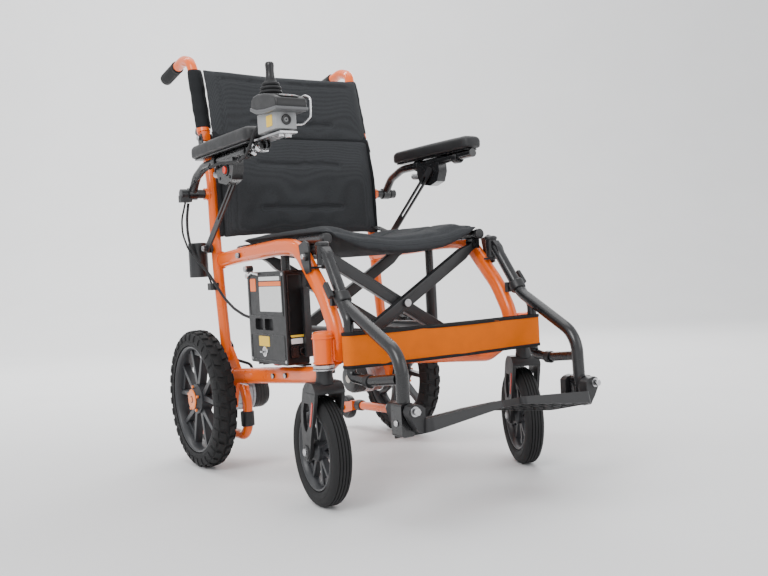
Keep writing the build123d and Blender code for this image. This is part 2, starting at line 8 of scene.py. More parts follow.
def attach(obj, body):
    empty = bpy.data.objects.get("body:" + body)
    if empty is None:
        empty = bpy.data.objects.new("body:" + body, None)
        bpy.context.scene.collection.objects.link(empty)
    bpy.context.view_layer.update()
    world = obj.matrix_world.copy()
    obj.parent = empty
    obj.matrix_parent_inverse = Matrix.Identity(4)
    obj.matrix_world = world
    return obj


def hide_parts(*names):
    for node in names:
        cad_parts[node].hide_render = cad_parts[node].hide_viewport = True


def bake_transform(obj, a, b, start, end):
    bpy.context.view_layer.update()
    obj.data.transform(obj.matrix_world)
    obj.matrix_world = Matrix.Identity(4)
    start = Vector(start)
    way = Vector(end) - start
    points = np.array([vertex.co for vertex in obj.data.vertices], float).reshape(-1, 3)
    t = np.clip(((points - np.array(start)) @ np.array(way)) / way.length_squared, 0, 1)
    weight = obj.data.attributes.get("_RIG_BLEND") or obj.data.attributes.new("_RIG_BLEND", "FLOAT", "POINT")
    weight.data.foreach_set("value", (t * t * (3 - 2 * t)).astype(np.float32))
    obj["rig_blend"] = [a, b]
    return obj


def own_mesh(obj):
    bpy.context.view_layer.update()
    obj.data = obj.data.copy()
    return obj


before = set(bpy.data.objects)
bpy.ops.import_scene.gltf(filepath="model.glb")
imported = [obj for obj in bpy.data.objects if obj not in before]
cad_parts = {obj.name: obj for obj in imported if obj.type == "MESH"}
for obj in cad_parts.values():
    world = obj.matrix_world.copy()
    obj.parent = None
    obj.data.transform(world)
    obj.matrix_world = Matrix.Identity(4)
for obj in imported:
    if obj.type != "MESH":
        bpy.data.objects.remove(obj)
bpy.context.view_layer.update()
SHX, SHY = -4.4, 75.5          # layout frame (mm) to the shared frame
SIDES = (("right", -1), ("left", 1))


def W(p):
    return ((p[0] + SHX) / 1000.0, (p[1] + SHY) / 1000.0, p[2] / 1000.0)


# ------------------------------------------------------------------ materials
def ramp(nt, fac, stops):
    r = nt.nodes.new("ShaderNodeValToRGB")
    el = r.color_ramp.elements
    el[0].position, el[0].color = stops[0][0], (*stops[0][1], 1)
    el[1].position, el[1].color = stops[-1][0], (*stops[-1][1], 1)
    for pos, c in stops[1:-1]:
        e = el.new(pos)
        e.color = (*c, 1)
    nt.links.new(fac, r.inputs[0])
    return r.outputs[0]


def material(name, base, rough, metal=0.0, vary=0.12, scale=40.0, bump=0.05, bump_scale=400.0, coat=0.0,
             rough_vary=0.08, spec=0.5, pattern=None, pattern_scale=300.0, pattern_depth=0.4, sheen=0.0,
             pattern_dark=0.5, stretch=(1, 1, 1), bump_dist=0.0004):
    m = bpy.data.materials.new(name)
    m.use_nodes = True
    nt = m.node_tree
    b = nt.nodes["Principled BSDF"]
    tc = nt.nodes.new("ShaderNodeTexCoord")
    mp = nt.nodes.new("ShaderNodeMapping")
    mp.inputs["Scale"].default_value = stretch
    nt.links.new(tc.outputs["Object"], mp.inputs["Vector"])
    co = mp.outputs["Vector"]
    n1 = nt.nodes.new("ShaderNodeTexNoise")
    n1.inputs["Scale"].default_value = scale
    n1.inputs["Detail"].default_value = 5.0
    n1.inputs["Roughness"].default_value = 0.6
    nt.links.new(co, n1.inputs["Vector"])
    dark = [max(0.0, c * (1 - vary)) for c in base]
    lite = [min(1.0, c * (1 + vary) + 0.002 * vary) for c in base]
    col = ramp(nt, n1.outputs["Fac"], [(0.3, dark), (0.7, lite)])
    n2 = nt.nodes.new("ShaderNodeTexNoise")
    n2.inputs["Scale"].default_value = bump_scale
    n2.inputs["Detail"].default_value = 3.0
    nt.links.new(co, n2.inputs["Vector"])
    height = n2.outputs["Fac"]
    if pattern:
        if pattern == "mesh":
            v = nt.nodes.new("ShaderNodeTexVoronoi")
            v.inputs["Scale"].default_value = pattern_scale
            v.inputs["Randomness"].default_value = 0.25
            nt.links.new(co, v.inputs["Vector"])
            d = v.outputs["Distance"]
            pr = ramp(nt, d, [(0.12, (pattern_dark,) * 3), (0.45, (1, 1, 1))])
        else:
            w1 = nt.nodes.new("ShaderNodeTexWave")
            w1.bands_direction = "Z"
            w1.inputs["Scale"].default_value = pattern_scale
            w1.inputs["Distortion"].default_value = 0.6
            nt.links.new(co, w1.inputs["Vector"])
            w2 = nt.nodes.new("ShaderNodeTexWave")
            w2.bands_direction = "X"
            w2.inputs["Scale"].default_value = pattern_scale
            w2.inputs["Distortion"].default_value = 0.6
            nt.links.new(co, w2.inputs["Vector"])
            mm = nt.nodes.new("ShaderNodeMath")
            mm.operation = "MULTIPLY"
            nt.links.new(w1.outputs["Fac"], mm.inputs[0])
            nt.links.new(w2.outputs["Fac"], mm.inputs[1])
            d = mm.outputs[0]
            pr = ramp(nt, d, [(0.05, (pattern_dark,) * 3), (0.7, (1, 1, 1))])
        mx = nt.nodes.new("ShaderNodeMix")
        mx.data_type = "RGBA"
        mx.blend_type = "MULTIPLY"
        mx.inputs["Factor"].default_value = 1.0
        nt.links.new(col, mx.inputs[6])
        nt.links.new(pr, mx.inputs[7])
        col = mx.outputs[2]
        ad = nt.nodes.new("ShaderNodeMath")
        ad.operation = "MULTIPLY_ADD"
        ad.inputs[1].default_value = pattern_depth
        nt.links.new(d, ad.inputs[0])
        nt.links.new(height, ad.inputs[2])
        height = ad.outputs[0]
    nt.links.new(col, b.inputs["Base Color"])
    rr = nt.nodes.new("ShaderNodeMapRange")
    rr.inputs["From Min"].default_value = 0.3
    rr.inputs["From Max"].default_value = 0.7
    rr.inputs["To Min"].default_value = max(0.02, rough - rough_vary)
    rr.inputs["To Max"].default_value = min(1.0, rough + rough_vary)
    nt.links.new(n1.outputs["Fac"], rr.inputs["Value"])
    nt.links.new(rr.outputs["Result"], b.inputs["Roughness"])
    bp = nt.nodes.new("ShaderNodeBump")
    bp.inputs["Strength"].default_value = bump
    bp.inputs["Distance"].default_value = bump_dist
    nt.links.new(height, bp.inputs["Height"])
    nt.links.new(bp.outputs["Normal"], b.inputs["Normal"])
    b.inputs["Metallic"].default_value = metal
    b.inputs["Specular IOR Level"].default_value = spec
    b.inputs["Coat Weight"].default_value = coat
    b.inputs["Coat Roughness"].default_value = 0.12
    b.inputs["Sheen Weight"].default_value = sheen
    return m


M = {
    "orange": material("frame_orange", (0.93, 0.135, 0.002), 0.30, vary=0.05, scale=9, bump=0.05, bump_scale=260, coat=0.5, rough_vary=0.05, spec=0.4),
    "black_paint": material("black_paint", (0.009, 0.009, 0.010), 0.27, vary=0.3, scale=30, bump=0.06, bump_scale=700, coat=0.3),
    "satin_black": material("satin_black_steel", (0.016, 0.0165, 0.018), 0.36, vary=0.25, scale=25, bump=0.1, bump_scale=600, coat=0.1),
    "zinc": material("zinc_steel", (0.55, 0.55, 0.56), 0.32, metal=1.0, vary=0.12, scale=120, bump=0.05, bump_scale=500),
    "chrome": material("chrome_plate", (0.8, 0.8, 0.81), 0.12, metal=1.0, vary=0.04, scale=60, bump=0.01, bump_scale=300, rough_vary=0.03),
    "cast": material("cast_aluminium", (0.42, 0.43, 0.45), 0.36, metal=0.9, vary=0.15, scale=90, bump=0.25, bump_scale=650),
    "motor": material("motor_case", (0.018, 0.0185, 0.02), 0.42, vary=0.25, scale=50, bump=0.2, bump_scale=700),
    "tyre": material("tyre_rubber", (0.012, 0.012, 0.0125), 0.72, vary=0.3, scale=35, bump=0.25, bump_scale=500, spec=0.35),
    "rim": material("rim_plastic", (0.028, 0.029, 0.032), 0.38, vary=0.15, scale=40, bump=0.12, bump_scale=600),
    "plastic": material("black_plastic", (0.012, 0.012, 0.013), 0.42, vary=0.25, scale=60, bump=0.25, bump_scale=900),
    "plastic_smooth": material("smooth_black_plastic", (0.010, 0.010, 0.011), 0.27, vary=0.2, scale=30, bump=0.06, bump_scale=600),
    "dark_grey": material("dark_grey_plastic", (0.10, 0.102, 0.106), 0.36, vary=0.1, scale=50, bump=0.12, bump_scale=800),
    "grey_plastic": material("light_grey_plastic", (0.30, 0.305, 0.31), 0.42, vary=0.06, scale=50, bump=0.12, bump_scale=800),
    "rubber": material("soft_rubber", (0.012, 0.012, 0.013), 0.62, vary=0.25, scale=60, bump=0.2, bump_scale=900, spec=0.4),
    "pad": material("pad_skin", (0.013, 0.013, 0.014), 0.48, vary=0.2, scale=60, bump=0.45, bump_scale=1100, spec=0.45),
    "fabric": material("mesh_fabric", (0.040, 0.042, 0.045), 0.85, vary=0.08, scale=9, bump=0.7, bump_scale=1400, pattern="mesh", pattern_scale=420, pattern_depth=1.6, sheen=0.0, pattern_dark=0.35, spec=0.14),
    "fabric_plain": material("band_fabric", (0.022, 0.0235, 0.026), 0.8, vary=0.12, scale=25, bump=0.6, bump_scale=1200, pattern="weave", pattern_scale=260, pattern_depth=1.0, sheen=0.0, pattern_dark=0.6, spec=0.15),
    "binding": material("binding_tape", (0.016, 0.016, 0.017), 0.75, vary=0.2, scale=40, bump=0.5, bump_scale=900, pattern="weave", pattern_scale=420, pattern_depth=0.8, pattern_dark=0.6, spec=0.25),
    "strap": material("strap_fabric", (0.86, 0.17, 0.003), 0.78, vary=0.06, scale=30, bump=0.6, bump_scale=900, pattern="weave", pattern_scale=330, pattern_depth=1.0, pattern_dark=0.78, spec=0.12),
    "webbing": material("webbing_black", (0.014, 0.014, 0.015), 0.7, vary=0.25, scale=60, bump=0.6, bump_scale=900, pattern="weave", pattern_scale=520, pattern_depth=1.0, pattern_dark=0.5, spec=0.3),
    "red": material("red_plastic", (0.72, 0.035, 0.01), 0.32, vary=0.06, scale=60, bump=0.05, bump_scale=500, coat=0.3),
    "orange_plastic": material("orange_plastic", (0.95, 0.17, 0.012), 0.36, vary=0.06, scale=60, bump=0.06, bump_scale=500, coat=0.2),
    "yellow": material("yellow_label", (0.85, 0.55, 0.04), 0.5, vary=0.05, scale=90, bump=0.05, bump_scale=600),
    "white": material("white_label", (0.72, 0.73, 0.72), 0.5, vary=0.04, scale=90, bump=0.04, bump_scale=600),
    "cream": material("cream_plastic", (0.55, 0.53, 0.47), 0.5, vary=0.06, scale=90, bump=0.05, bump_scale=600),
    "hub_orange": material("hub_orange", (0.9, 0.2, 0.01), 0.35, vary=0.05, scale=60, bump=0.05, bump_scale=500, coat=0.3),
}


# ------------------------------------------------------------------ mesh building (millimetres)
class G:
    def __init__(self):
        self.v, self.f = [], []

    def add(self, v, f):
        n = len(self.v)
        self.v += [tuple(float(c) for c in p) for p in v]
        self.f += [tuple(i + n for i in q) for q in f]
        return self

    def box(self, x0, x1, y0, y1, z0, z1):
        x0, x1 = sorted((x0, x1))
        y0, y1 = sorted((y0, y1))
        z0, z1 = sorted((z0, z1))
        v = [(x, y, z) for x in (x0, x1) for y in (y0, y1) for z in (z0, z1)]
        f = [(0, 1, 3, 2), (4, 6, 7, 5), (0, 4, 5, 1), (2, 3, 7, 6), (0, 2, 6, 4), (1, 5, 7, 3)]
        return self.add(v, f)

    def lathe(self, c, axis, prof, seg=48, closed=False, phase=0.0):
        """prof: (t along axis, radius); closed joins the last point to the first."""
        c, a = np.array(c, float), np.array(axis, float)
        a = a / np.linalg.norm(a)
        h = np.array([0, 0, 1.0]) if abs(a[2]) < 0.9 else np.array([1.0, 0, 0])
        u = np.cross(a, h)
        u /= np.linalg.norm(u)
        w = np.cross(a, u)
        v, rings = [], []
        for t, r in prof:
            if r < 1e-6:
                rings.append([len(v)])
                v.append(c + a * t)
            else:
                rings.append(list(range(len(v), len(v) + seg)))
                for k in range(seg):
                    an = 2 * math.pi * (k + phase) / seg
                    v.append(c + a * t + (u * math.cos(an) + w * math.sin(an)) * r)
        f = []
        pairs = list(zip(rings, rings[1:])) + ([(rings[-1], rings[0])] if closed else [])
        for p, q in pairs:
            for k in range(seg):
                k2 = (k + 1) % seg
                if len(p) == 1 and len(q) == 1:
                    continue
                if len(p) == 1:
                    f.append((p[0], q[k2], q[k]))
                elif len(q) == 1:
                    f.append((p[k], p[k2], q[0]))
                else:
                    f.append((p[k], p[k2], q[k2], q[k]))
        return self.add(v, f)

    def rod(self, p, q, r, seg=32, ch=0.8):
        """Solid round bar with chamfered ends."""
        p, q = np.array(p, float), np.array(q, float)
        L = np.linalg.norm(q - p)
        ch = min(ch, r * 0.4, L * 0.4)
        return self.lathe(p, (q - p), [(0, 0), (0, r - ch), (ch, r), (L - ch, r), (L, r - ch), (L, 0)], seg)

    def hexn(self, p, q, r, ch=0.6):
        p, q = np.array(p, float), np.array(q, float)
        L = np.linalg.norm(q - p)
        return self.lathe(p, (q - p), [(0, 0), (0, r - ch), (ch, r), (L - ch, r), (L, r - ch), (L, 0)], 6)

    def pipe(self, pts, r, seg=20, caps=True, closed=False, flat=1.0, up=None):
        """Sweep along points; r is a number or list; flat scales the second axis."""
        P = [np.array(p, float) for p in pts]
        n = len(P)
        R = r if hasattr(r, "__len__") else [r] * n
        T = []
        for i in range(n):
            if closed:
                d = P[(i + 1) % n] - P[i - 1]
            else:
                d = P[min(i + 1, n - 1)] - P[max(i - 1, 0)]
            T.append(d / np.linalg.norm(d))
        h = np.array(up, float) if up is not None else (np.array([0, 0, 1.0]) if abs(T[0][2]) < 0.9 else np.array([1.0, 0, 0]))
        u = h - T[0] * (h @ T[0])
        u /= np.linalg.norm(u)
        v, rings = [], []
        for i in range(n):
            if up is not None:
                u = h - T[i] * (h @ T[i])
            else:
                u = u - T[i] * (u @ T[i])
            u /= np.linalg.norm(u)
            w = np.cross(T[i], u)
            rings.append(list(range(len(v), len(v) + seg)))
            for k in range(seg):
                an = 2 * math.pi * k / seg
                v.append(P[i] + (u * math.cos(an) + w * flat * math.sin(an)) * R[i])
        f = []
        pairs = list(zip(rings, rings[1:])) + ([(rings[-1], rings[0])] if closed else [])
        for p, q in pairs:
            for k in range(seg):
                k2 = (k + 1) % seg
                f.append((p[k], p[k2], q[k2], q[k]))
        if caps and not closed:
            f.append(tuple(reversed(rings[0])))
            f.append(tuple(rings[-1]))
        return self.add(v, f)

    def prism(self, poly, a0, a1, axis="x", holes=()):
        """Polygon extruded from a0 to a1. axis x: (y,z) points; y: (x,z); z: (x,y)."""
        def put(p, a):
            return {"x": (a, p[0], p[1]), "y": (p[0], a, p[1]), "z": (p[0], p[1], a)}[axis]
        loops = [list(poly)] + [list(h) for h in holes]
        flat = [p for lp in loops for p in lp]
        n = len(flat)
        v = [put(p, a0) for p in flat] + [put(p, a1) for p in flat]
        f = []
        if holes:
            tri = geometry.tessellate_polygon([[Vector((p[0], p[1], 0)) for p in lp] for lp in loops])
            for t in tri:
                f.append(tuple(t))
                f.append(tuple(i + n for i in reversed(t)))
        else:
            f.append(tuple(range(n)))
            f.append(tuple(reversed(range(n, 2 * n))))
        s = 0
        for lp in loops:
            k = len(lp)
            for i in range(k):
                j = (i + 1) % k
                f.append((s + i, s + i + n, s + j + n, s + j))
            s += k
        return self.add(v, f)

    def move(self, fn):
        self.v = [tuple(fn(np.array(p))) for p in self.v]
        return self

    def join(self, other):
        return self.add(other.v, other.f)


def mirrored(g):
    h = G()
    h.v = [(-x, y, z) for x, y, z in g.v]
    h.f = [tuple(reversed(q)) for q in g.f]
    return h


def fillet_path(pts, radii, n=8):
    """Points along straight runs joined by tangent arcs."""
    P = [np.array(p, float) for p in pts]
    if not hasattr(radii, "__len__"):
        radii = [radii] * (len(P) - 2)
    out = [P[0]]
    for i, R in zip(range(1, len(P) - 1), radii):
        a, b, c = P[i - 1], P[i], P[i + 1]
        u, v = (a - b) / np.linalg.norm(a - b), (c - b) / np.linalg.norm(c - b)
        ang = math.acos(max(-1, min(1, float(u @ v))))
        if ang > math.pi - 1e-3:
            out.append(b)
            continue
        t = R / math.tan(ang / 2)
        t = min(t, 0.49 * np.linalg.norm(a - b), 0.49 * np.linalg.norm(c - b))
        R2 = t * math.tan(ang / 2)
        ctr = b + (u + v) / np.linalg.norm(u + v) * (R2 / math.sin(ang / 2))
        p0, p1 = b + u * t, b + v * t
        e0, e1 = p0 - ctr, p1 - ctr
        tot = math.acos(max(-1, min(1, float(e0 @ e1) / (R2 * R2))))
        for k in range(n + 1):
            s = k / n
            out.append(ctr + (e0 * math.sin((1 - s) * tot) + e1 * math.sin(s * tot)) / math.sin(tot))
    out.append(P[-1])
    return out


def resample(pts, step):
    P = np.array(pts, float)
    d = np.r_[0, np.cumsum(np.linalg.norm(np.diff(P, axis=0), axis=1))]
    n = max(2, int(d[-1] / step) + 1)
    s = np.linspace(0, d[-1], n)
    return [np.array([np.interp(x, d, P[:, k]) for k in range(3)]) for x in s]


def mk(g, name, mat, body, bevel=0.0, seg=2, sub=0, replaces=(), slot=None, angle=35, smooth=True, boolean=None):
    me = bpy.data.meshes.new(name)
    me.from_pydata([W(p) for p in g.v], [], g.f)
    me.update()
    bm = bmesh.new()
    bm.from_mesh(me)
    bmesh.ops.remove_doubles(bm, verts=bm.verts, dist=1e-7)
    bmesh.ops.recalc_face_normals(bm, faces=bm.faces)
    bm.to_mesh(me)
    bm.free()
    o = bpy.data.objects.new(name, me)
    bpy.context.scene.collection.objects.link(o)
    me.materials.append(M[mat] if isinstance(mat, str) else mat)
    if smooth:
        for p in me.polygons:
            p.use_smooth = True
        me.set_sharp_from_angle(angle=math.radians(angle))
    if bevel:
        b = o.modifiers.new("bevel", "BEVEL")
        b.width = bevel / 1000
        b.segments = seg
        b.limit_method = "ANGLE"
        b.angle_limit = math.radians(angle)
        b.harden_normals = False
        if smooth:
            w = o.modifiers.new("wn", "WEIGHTED_NORMAL")
            w.keep_sharp = False
            for e in me.edges:
                e.use_edge_sharp = False
    if sub:
        s = o.modifiers.new("sub", "SUBSURF")
        s.levels = s.render_levels = sub
    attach(o, body)
    if replaces:
        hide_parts(*replaces)
    return o


def pair(fn, name, mat, body, **k):
    """fn() gives the right-hand mesh; the left one is its mirror."""
    rep = k.pop("replaces", ())
    for sd, sx in SIDES:
        g = fn()
        if sx > 0:
            g = mirrored(g)
        mk(g, f"{name}_{sd}", mat, f"{body}_{sd}", replaces=[f"{r}_{sd}" for r in rep], **k)


def circle(cy, cz, r, n=24, a0=0.0):
    return [(cy + r * math.cos(a0 + 2 * math.pi * k / n), cz + r * math.sin(a0 + 2 * math.pi * k / n)) for k in range(n)]


def rrect(u0, u1, v0, v1, r, n=5):
    pts = []
    for cx, cy, a in ((u1 - r, v1 - r, 0), (u0 + r, v1 - r, 90), (u0 + r, v0 + r, 180), (u1 - r, v0 + r, 270)):
        for k in range(n + 1):
            an = math.radians(a + 90 * k / n)
            pts.append((cx + r * math.cos(an), cy + r * math.sin(an)))
    return pts


def slot_poly(p, q, r, n=8):
    """Stadium round the segment p-q in 2D."""
    p, q = np.array(p, float), np.array(q, float)
    d = (q - p) / np.linalg.norm(q - p)
    a = math.atan2(d[1], d[0])
    pts = []
    for c, s in ((q, a - math.pi / 2), (p, a + math.pi / 2)):
        for k in range(n + 1):
            an = s + math.pi * k / n
            pts.append((c[0] + r * math.cos(an), c[1] + r * math.sin(an)))
    return pts

# ------------------------------------------------------------------ drive tyres with block tread
def tyre_profile(s, w, r, r_in, fil):
    """Half-section of a tyre: s from -1 (one bead) over the crown to 1. Returns (t, radius, outward (t, r))."""
    a = abs(s)
    hw = w / 2
    if a < 0.62:
        t = hw * 0.80 * (a / 0.62)
        rr = r - 2.4 * (a / 0.62) ** 2
        n = (0.10 * a, 1.0)
    else:
        k = (a - 0.62) / 0.38
        ang = k * math.pi / 2
        t = hw * 0.80 + hw * 0.20 * math.sin(min(1.0, k * 2.2) * math.pi / 2)
        rr = (r - 2.4) + (r_in - (r - 2.4)) * (k ** 1.25)
        n = (math.sin(min(ang * 1.7, math.pi / 2)), math.cos(min(ang * 1.7, math.pi / 2)))
    sg = 1 if s >= 0 else -1
    return t * sg, rr, (n[0] * sg, n[1])


def drive_tyre():
    g = G()
    c, w, r, ri = (-265.0, 174.0, 152.0), 47.0, 147.6, 119.0
    prof = []
    for s in np.linspace(-1, 1, 41):
        t, rr, n = tyre_profile(s, w - 3, r, ri, 10)
        prof.append((t, rr))
    prof += [(12, 118.2), (-12, 118.2)]
    g.lathe(c, (1, 0, 0), prof, 96, closed=True)

    def at(theta, s, h):
        t, rr, n = tyre_profile(s, w - 3, r, ri, 10)
        t, rr = t + n[0] * h, rr + n[1] * h
        return (c[0] + t, c[1] + rr * math.cos(theta), c[2] + rr * math.sin(theta))

    N = 34
    for k in range(N):
        th0 = 2 * math.pi * k / N
        d = 2 * math.pi / N
        rows = [(-0.86, -0.66, 0.06, 0.66, 2.6), (-0.56, -0.12, 0.12, 0.76, 4.2), (0.12, 0.56, 0.62, 1.26, 4.2), (0.66, 0.86, 0.56, 1.16, 2.6)]
        for s0, s1, a0, a1, h in rows:
            skew = 0.16 if abs(s0) < 0.6 else 0.0
            n_s = 4
            ss = np.linspace(s0, s1, n_s)
            vs, fs = [], []
            for li, (hh, inset) in enumerate(((-1.2, 0.0), (h - 0.9, 0.06), (h, 0.16))):
                for i, s in enumerate(ss):
                    f = i / (n_s - 1)
                    sm = s + (0.5 - f) * inset * (s1 - s0) * 0.5
                    sk = skew * (f if s0 < 0 else 1 - f)
                    ta = th0 + d * (a0 + sk + inset * 0.5 * (a1 - a0) * 0.45)
                    tb = th0 + d * (a1 + sk - inset * 0.5 * (a1 - a0) * 0.45)
                    vs.append(at(ta, sm, hh))
                    vs.append(at(tb, sm, hh))
            L = n_s * 2
            for li in range(2):
                for i in range(n_s - 1):
                    for side in (0, 1):
                        q = (li * L + 2 * i + side, li * L + 2 * i + 2 + side, (li + 1) * L + 2 * i + 2 + side, (li + 1) * L + 2 * i + side)
                        fs.append(q if side else tuple(reversed(q)))
                for i in (0, n_s - 1):
                    fs.append((li * L + 2 * i, li * L + 2 * i + 1, (li + 1) * L + 2 * i + 1, (li + 1) * L + 2 * i))
            for i in range(n_s - 1):
                fs.append((2 * L + 2 * i, 2 * L + 2 * i + 1, 2 * L + 2 * i + 3, 2 * L + 2 * i + 2))
                fs.append((2 * i, 2 * i + 2, 2 * i + 3, 2 * i + 1))
            g.add(vs, fs)
    # raised bead ribs on the side walls
    for sg in (-1, 1):
        for rr, h in ((133.5, 1.0), (126.0, 1.3)):
            t0 = sg * (w - 3) / 2 * (0.985)
            ringp = [(t0 - sg * 0.8, rr + 1.6), (t0 + sg * h * 0.6, rr + 0.9), (t0 + sg * h * 0.6, rr - 0.9), (t0 - sg * 0.8, rr - 1.6)]
            g.lathe(c, (1, 0, 0), ringp, 96, closed=True)
    return g


pair(drive_tyre, "tread_tyre", "tyre", "drive_wheel", replaces=("drive_tyre",), slot="tyre", angle=40)


def spoke_poly(r0, r1, w0, w1, a):
    """Tapered spoke from radius r0 to r1 leaning from the ray by a."""
    b0, b1 = a * 0.35, a
    p0 = np.array([math.cos(b0), math.sin(b0)]) * r0
    p1 = np.array([math.cos(b1), math.sin(b1)]) * r1
    d = (p1 - p0) / np.linalg.norm(p1 - p0)
    n = np.array([-d[1], d[0]])
    return [p0 - n * w0 / 2, p1 - n * w1 / 2, p1 + n * w1 / 2, p0 + n * w0 / 2]


def mag_rim(c, ro, w, r_hub, hub_w, bore, n, lean, sw0, sw1, depth, phase=0.0):
    g = G()
    hw = w / 2
    g.lathe(c, (1, 0, 0), [(-hw, ro), (-hw, ro - 3.2), (-hw + 2.2, ro - 5.2), (-hw + 5, ro - 7.2), (-4, ro - 10), (4, ro - 10), (hw - 5, ro - 7.2),
                           (hw - 2.2, ro - 5.2), (hw, ro - 3.2), (hw, ro), (hw - 3, ro), (hw - 4, ro - 1.8), (-hw + 4, ro - 1.8), (-hw + 3, ro)], 96, closed=True)
    hh = hub_w / 2
    g.lathe(c, (1, 0, 0), [(-hh, bore), (-hh, r_hub * 0.62), (-hh + 1.5, r_hub * 0.70), (-hh * 0.78, r_hub * 0.78), (-hh * 0.6, r_hub), (hh * 0.6, r_hub),
                           (hh * 0.78, r_hub * 0.78), (hh - 1.5, r_hub * 0.70), (hh, r_hub * 0.62), (hh, bore)], 64, closed=True)
    for k in range(n):
        base = 2 * math.pi * k / n + phase
        for s in (-1, 1):
            poly = spoke_poly(r_hub * 0.86, ro - 7.5, sw0, sw1, s * lean)
            ca, sa = math.cos(base), math.sin(base)
            poly = [(c[1] + p[0] * ca - p[1] * sa, c[2] + p[0] * sa + p[1] * ca) for p in poly]
            g.prism(poly, c[0] - depth / 2, c[0] + depth / 2, "x")
        # web near the rim between the twin spokes
        wp = [(ro - 20, -lean * 0.82), (ro - 8, -lean * 0.9), (ro - 8, lean * 0.9), (ro - 20, lean * 0.82)]
        poly = [(c[1] + r * math.cos(base + a), c[2] + r * math.sin(base + a)) for r, a in wp]
        g.prism(poly, c[0] - depth * 0.28, c[0] + depth * 0.28, "x")
    return g


pair(lambda: mag_rim((-265, 174, 152), 117.6, 40, 33, 43, 8.4, 5, 0.30, 13, 9, 17, 0.35), "mag_rim", "rim", "drive_wheel",
     replaces=("drive_rim",), slot="wheel_rim", bevel=1.6, seg=2)


def hub_cap():
    g = G()
    g.lathe((-265, 174, 152), (-1, 0, 0), [(20.5, 0), (20.5, 17), (22.0, 22.5), (23.4, 22.5), (24.4, 20.5), (24.8, 17.0), (24.2, 15.5), (24.2, 0)], 48)
    g.lathe((-265, 174, 152), (-1, 0, 0), [(23.6, 0), (23.6, 6.2), (25.4, 5.6), (25.8, 3.0), (25.8, 0)], 32)
    for k in range(5):
        a = 2 * math.pi * k / 5 + 0.35
        y, z = 174 + 27.5 * math.cos(a), 152 + 27.5 * math.sin(a)
        g.hexn((-283.5, y, z), (-287.6, y, z), 3.6)
    return g


pair(hub_cap, "hub_cap", "hub_orange", "drive_wheel", slot="wheel_rim", bevel=0.4, seg=2)


# ------------------------------------------------------------------ casters
def turned(g, sx, ang):
    ca, sa = math.cos(math.radians(ang)), math.sin(math.radians(ang))
    cx, cy = sx * 232.0, -335.0
    g.move(lambda p: (cx + p[0] * ca - p[1] * sa, cy + p[0] * sa + p[1] * ca, p[2]))
    return g


def caster_tyre():
    g = G()
    hw, R, ri = 18.3, 99.8, 72.4
    prof = [(-hw * 0.74, ri), (-hw * 0.9, ri + 2), (-hw, ri + 9), (-hw, R - 12), (-hw * 0.97, R - 8), (-hw * 0.86, R - 4), (-hw * 0.68, R - 1.2)]
    for x in (-0.52, -0.20, 0.12, 0.44):
        prof += [(hw * x, R - 0.3 + 0.3 * (1 - abs(x))), (hw * (x + 0.015), R - 3.2), (hw * (x + 0.075), R - 3.2), (hw * (x + 0.09), R - 0.2)]
    prof += [(hw * 0.68, R - 1.2), (hw * 0.86, R - 4), (hw * 0.97, R - 8), (hw, R - 12), (hw, ri + 9), (hw * 0.9, ri + 2), (hw * 0.74, ri)]
    g.lathe((0, 32, 100), (1, 0, 0), prof, 96, closed=True)
    for sg in (-1, 1):
        t0 = sg * hw
        g.lathe((0, 32, 100), (1, 0, 0), [(t0 - sg, ri + 15), (t0 + sg * 0.5, ri + 14), (t0 + sg * 0.5, ri + 12.6), (t0 - sg, ri + 11.6)], 96, closed=True)
    return g


def caster_fork():
    g = G()
    g.lathe((0, 0, 0), (0, 0, 1), [(222, 0), (222, 16), (230, 16), (234, 15), (252, 14.6), (257.2, 14.2), (257.2, 0)], 40)
    g.rod((0, 0, 256), (0, 0, 303), 7.9, 24)
    # arched crown
    for x0, x1 in ((-29, 29),):
        poly = [(-22, 206.5), (-21, 212), (-15, 221), (-8, 226), (18, 226), (27, 221), (36, 212), (37, 206.5)]
        g.prism(poly, x0, x1, "x")
    for s in (-1, 1):
        xa, xb = s * 22.6, s * 29.0
        leg = [(-21, 209), (37, 209), (46, 182), (51, 158), (49.5, 128), (48.5, 100), (46, 92), (40, 85.5), (32, 83.5), (24, 85.5), (18, 92), (15, 101), (8, 126), (0, 146), (-9, 170), (-17, 192)]
        hole = [(13, 188), (31, 188), (38, 172), (39, 150), (33, 138), (25, 137), (15, 152), (9, 170), (9, 182)]
        g.prism(leg, min(xa, xb), max(xa, xb), "x", holes=[hole])
        # raised rim of the moulded leg
        g.lathe((s * 28.4, 32, 100), (s, 0, 0), [(0, 13.5), (2.6, 13.0), (3.2, 11.8), (3.2, 7.5), (0, 7.0)], 36, closed=True)
    g.rod((-31.5, 32, 100), (31.5, 32, 100), 5.0, 24)
    return g


def caster_bolts():
    g = G()
    for s in (-1, 1):
        g.lathe((s * 29.2, 32, 100), (s, 0, 0), [(0, 0), (0, 9.2), (1.0, 9.4), (1.5, 8.8), (1.5, 0)], 32)
        g.lathe((s * 30.7, 32, 100), (s, 0, 0), [(0, 0), (0, 7.2), (2.6, 7.2), (3.4, 6.2), (3.4, 0)], 6)
    return g


def reflector():
    g = G()
    for s in (-1, 1):
        poly = [(-8.5, 190), (-5.0, 193), (2.5, 170), (9.5, 150), (6.2, 147.5), (-1.5, 167)]
        g.prism(poly, s * 28.6, s * 29.9, "x")
    return g


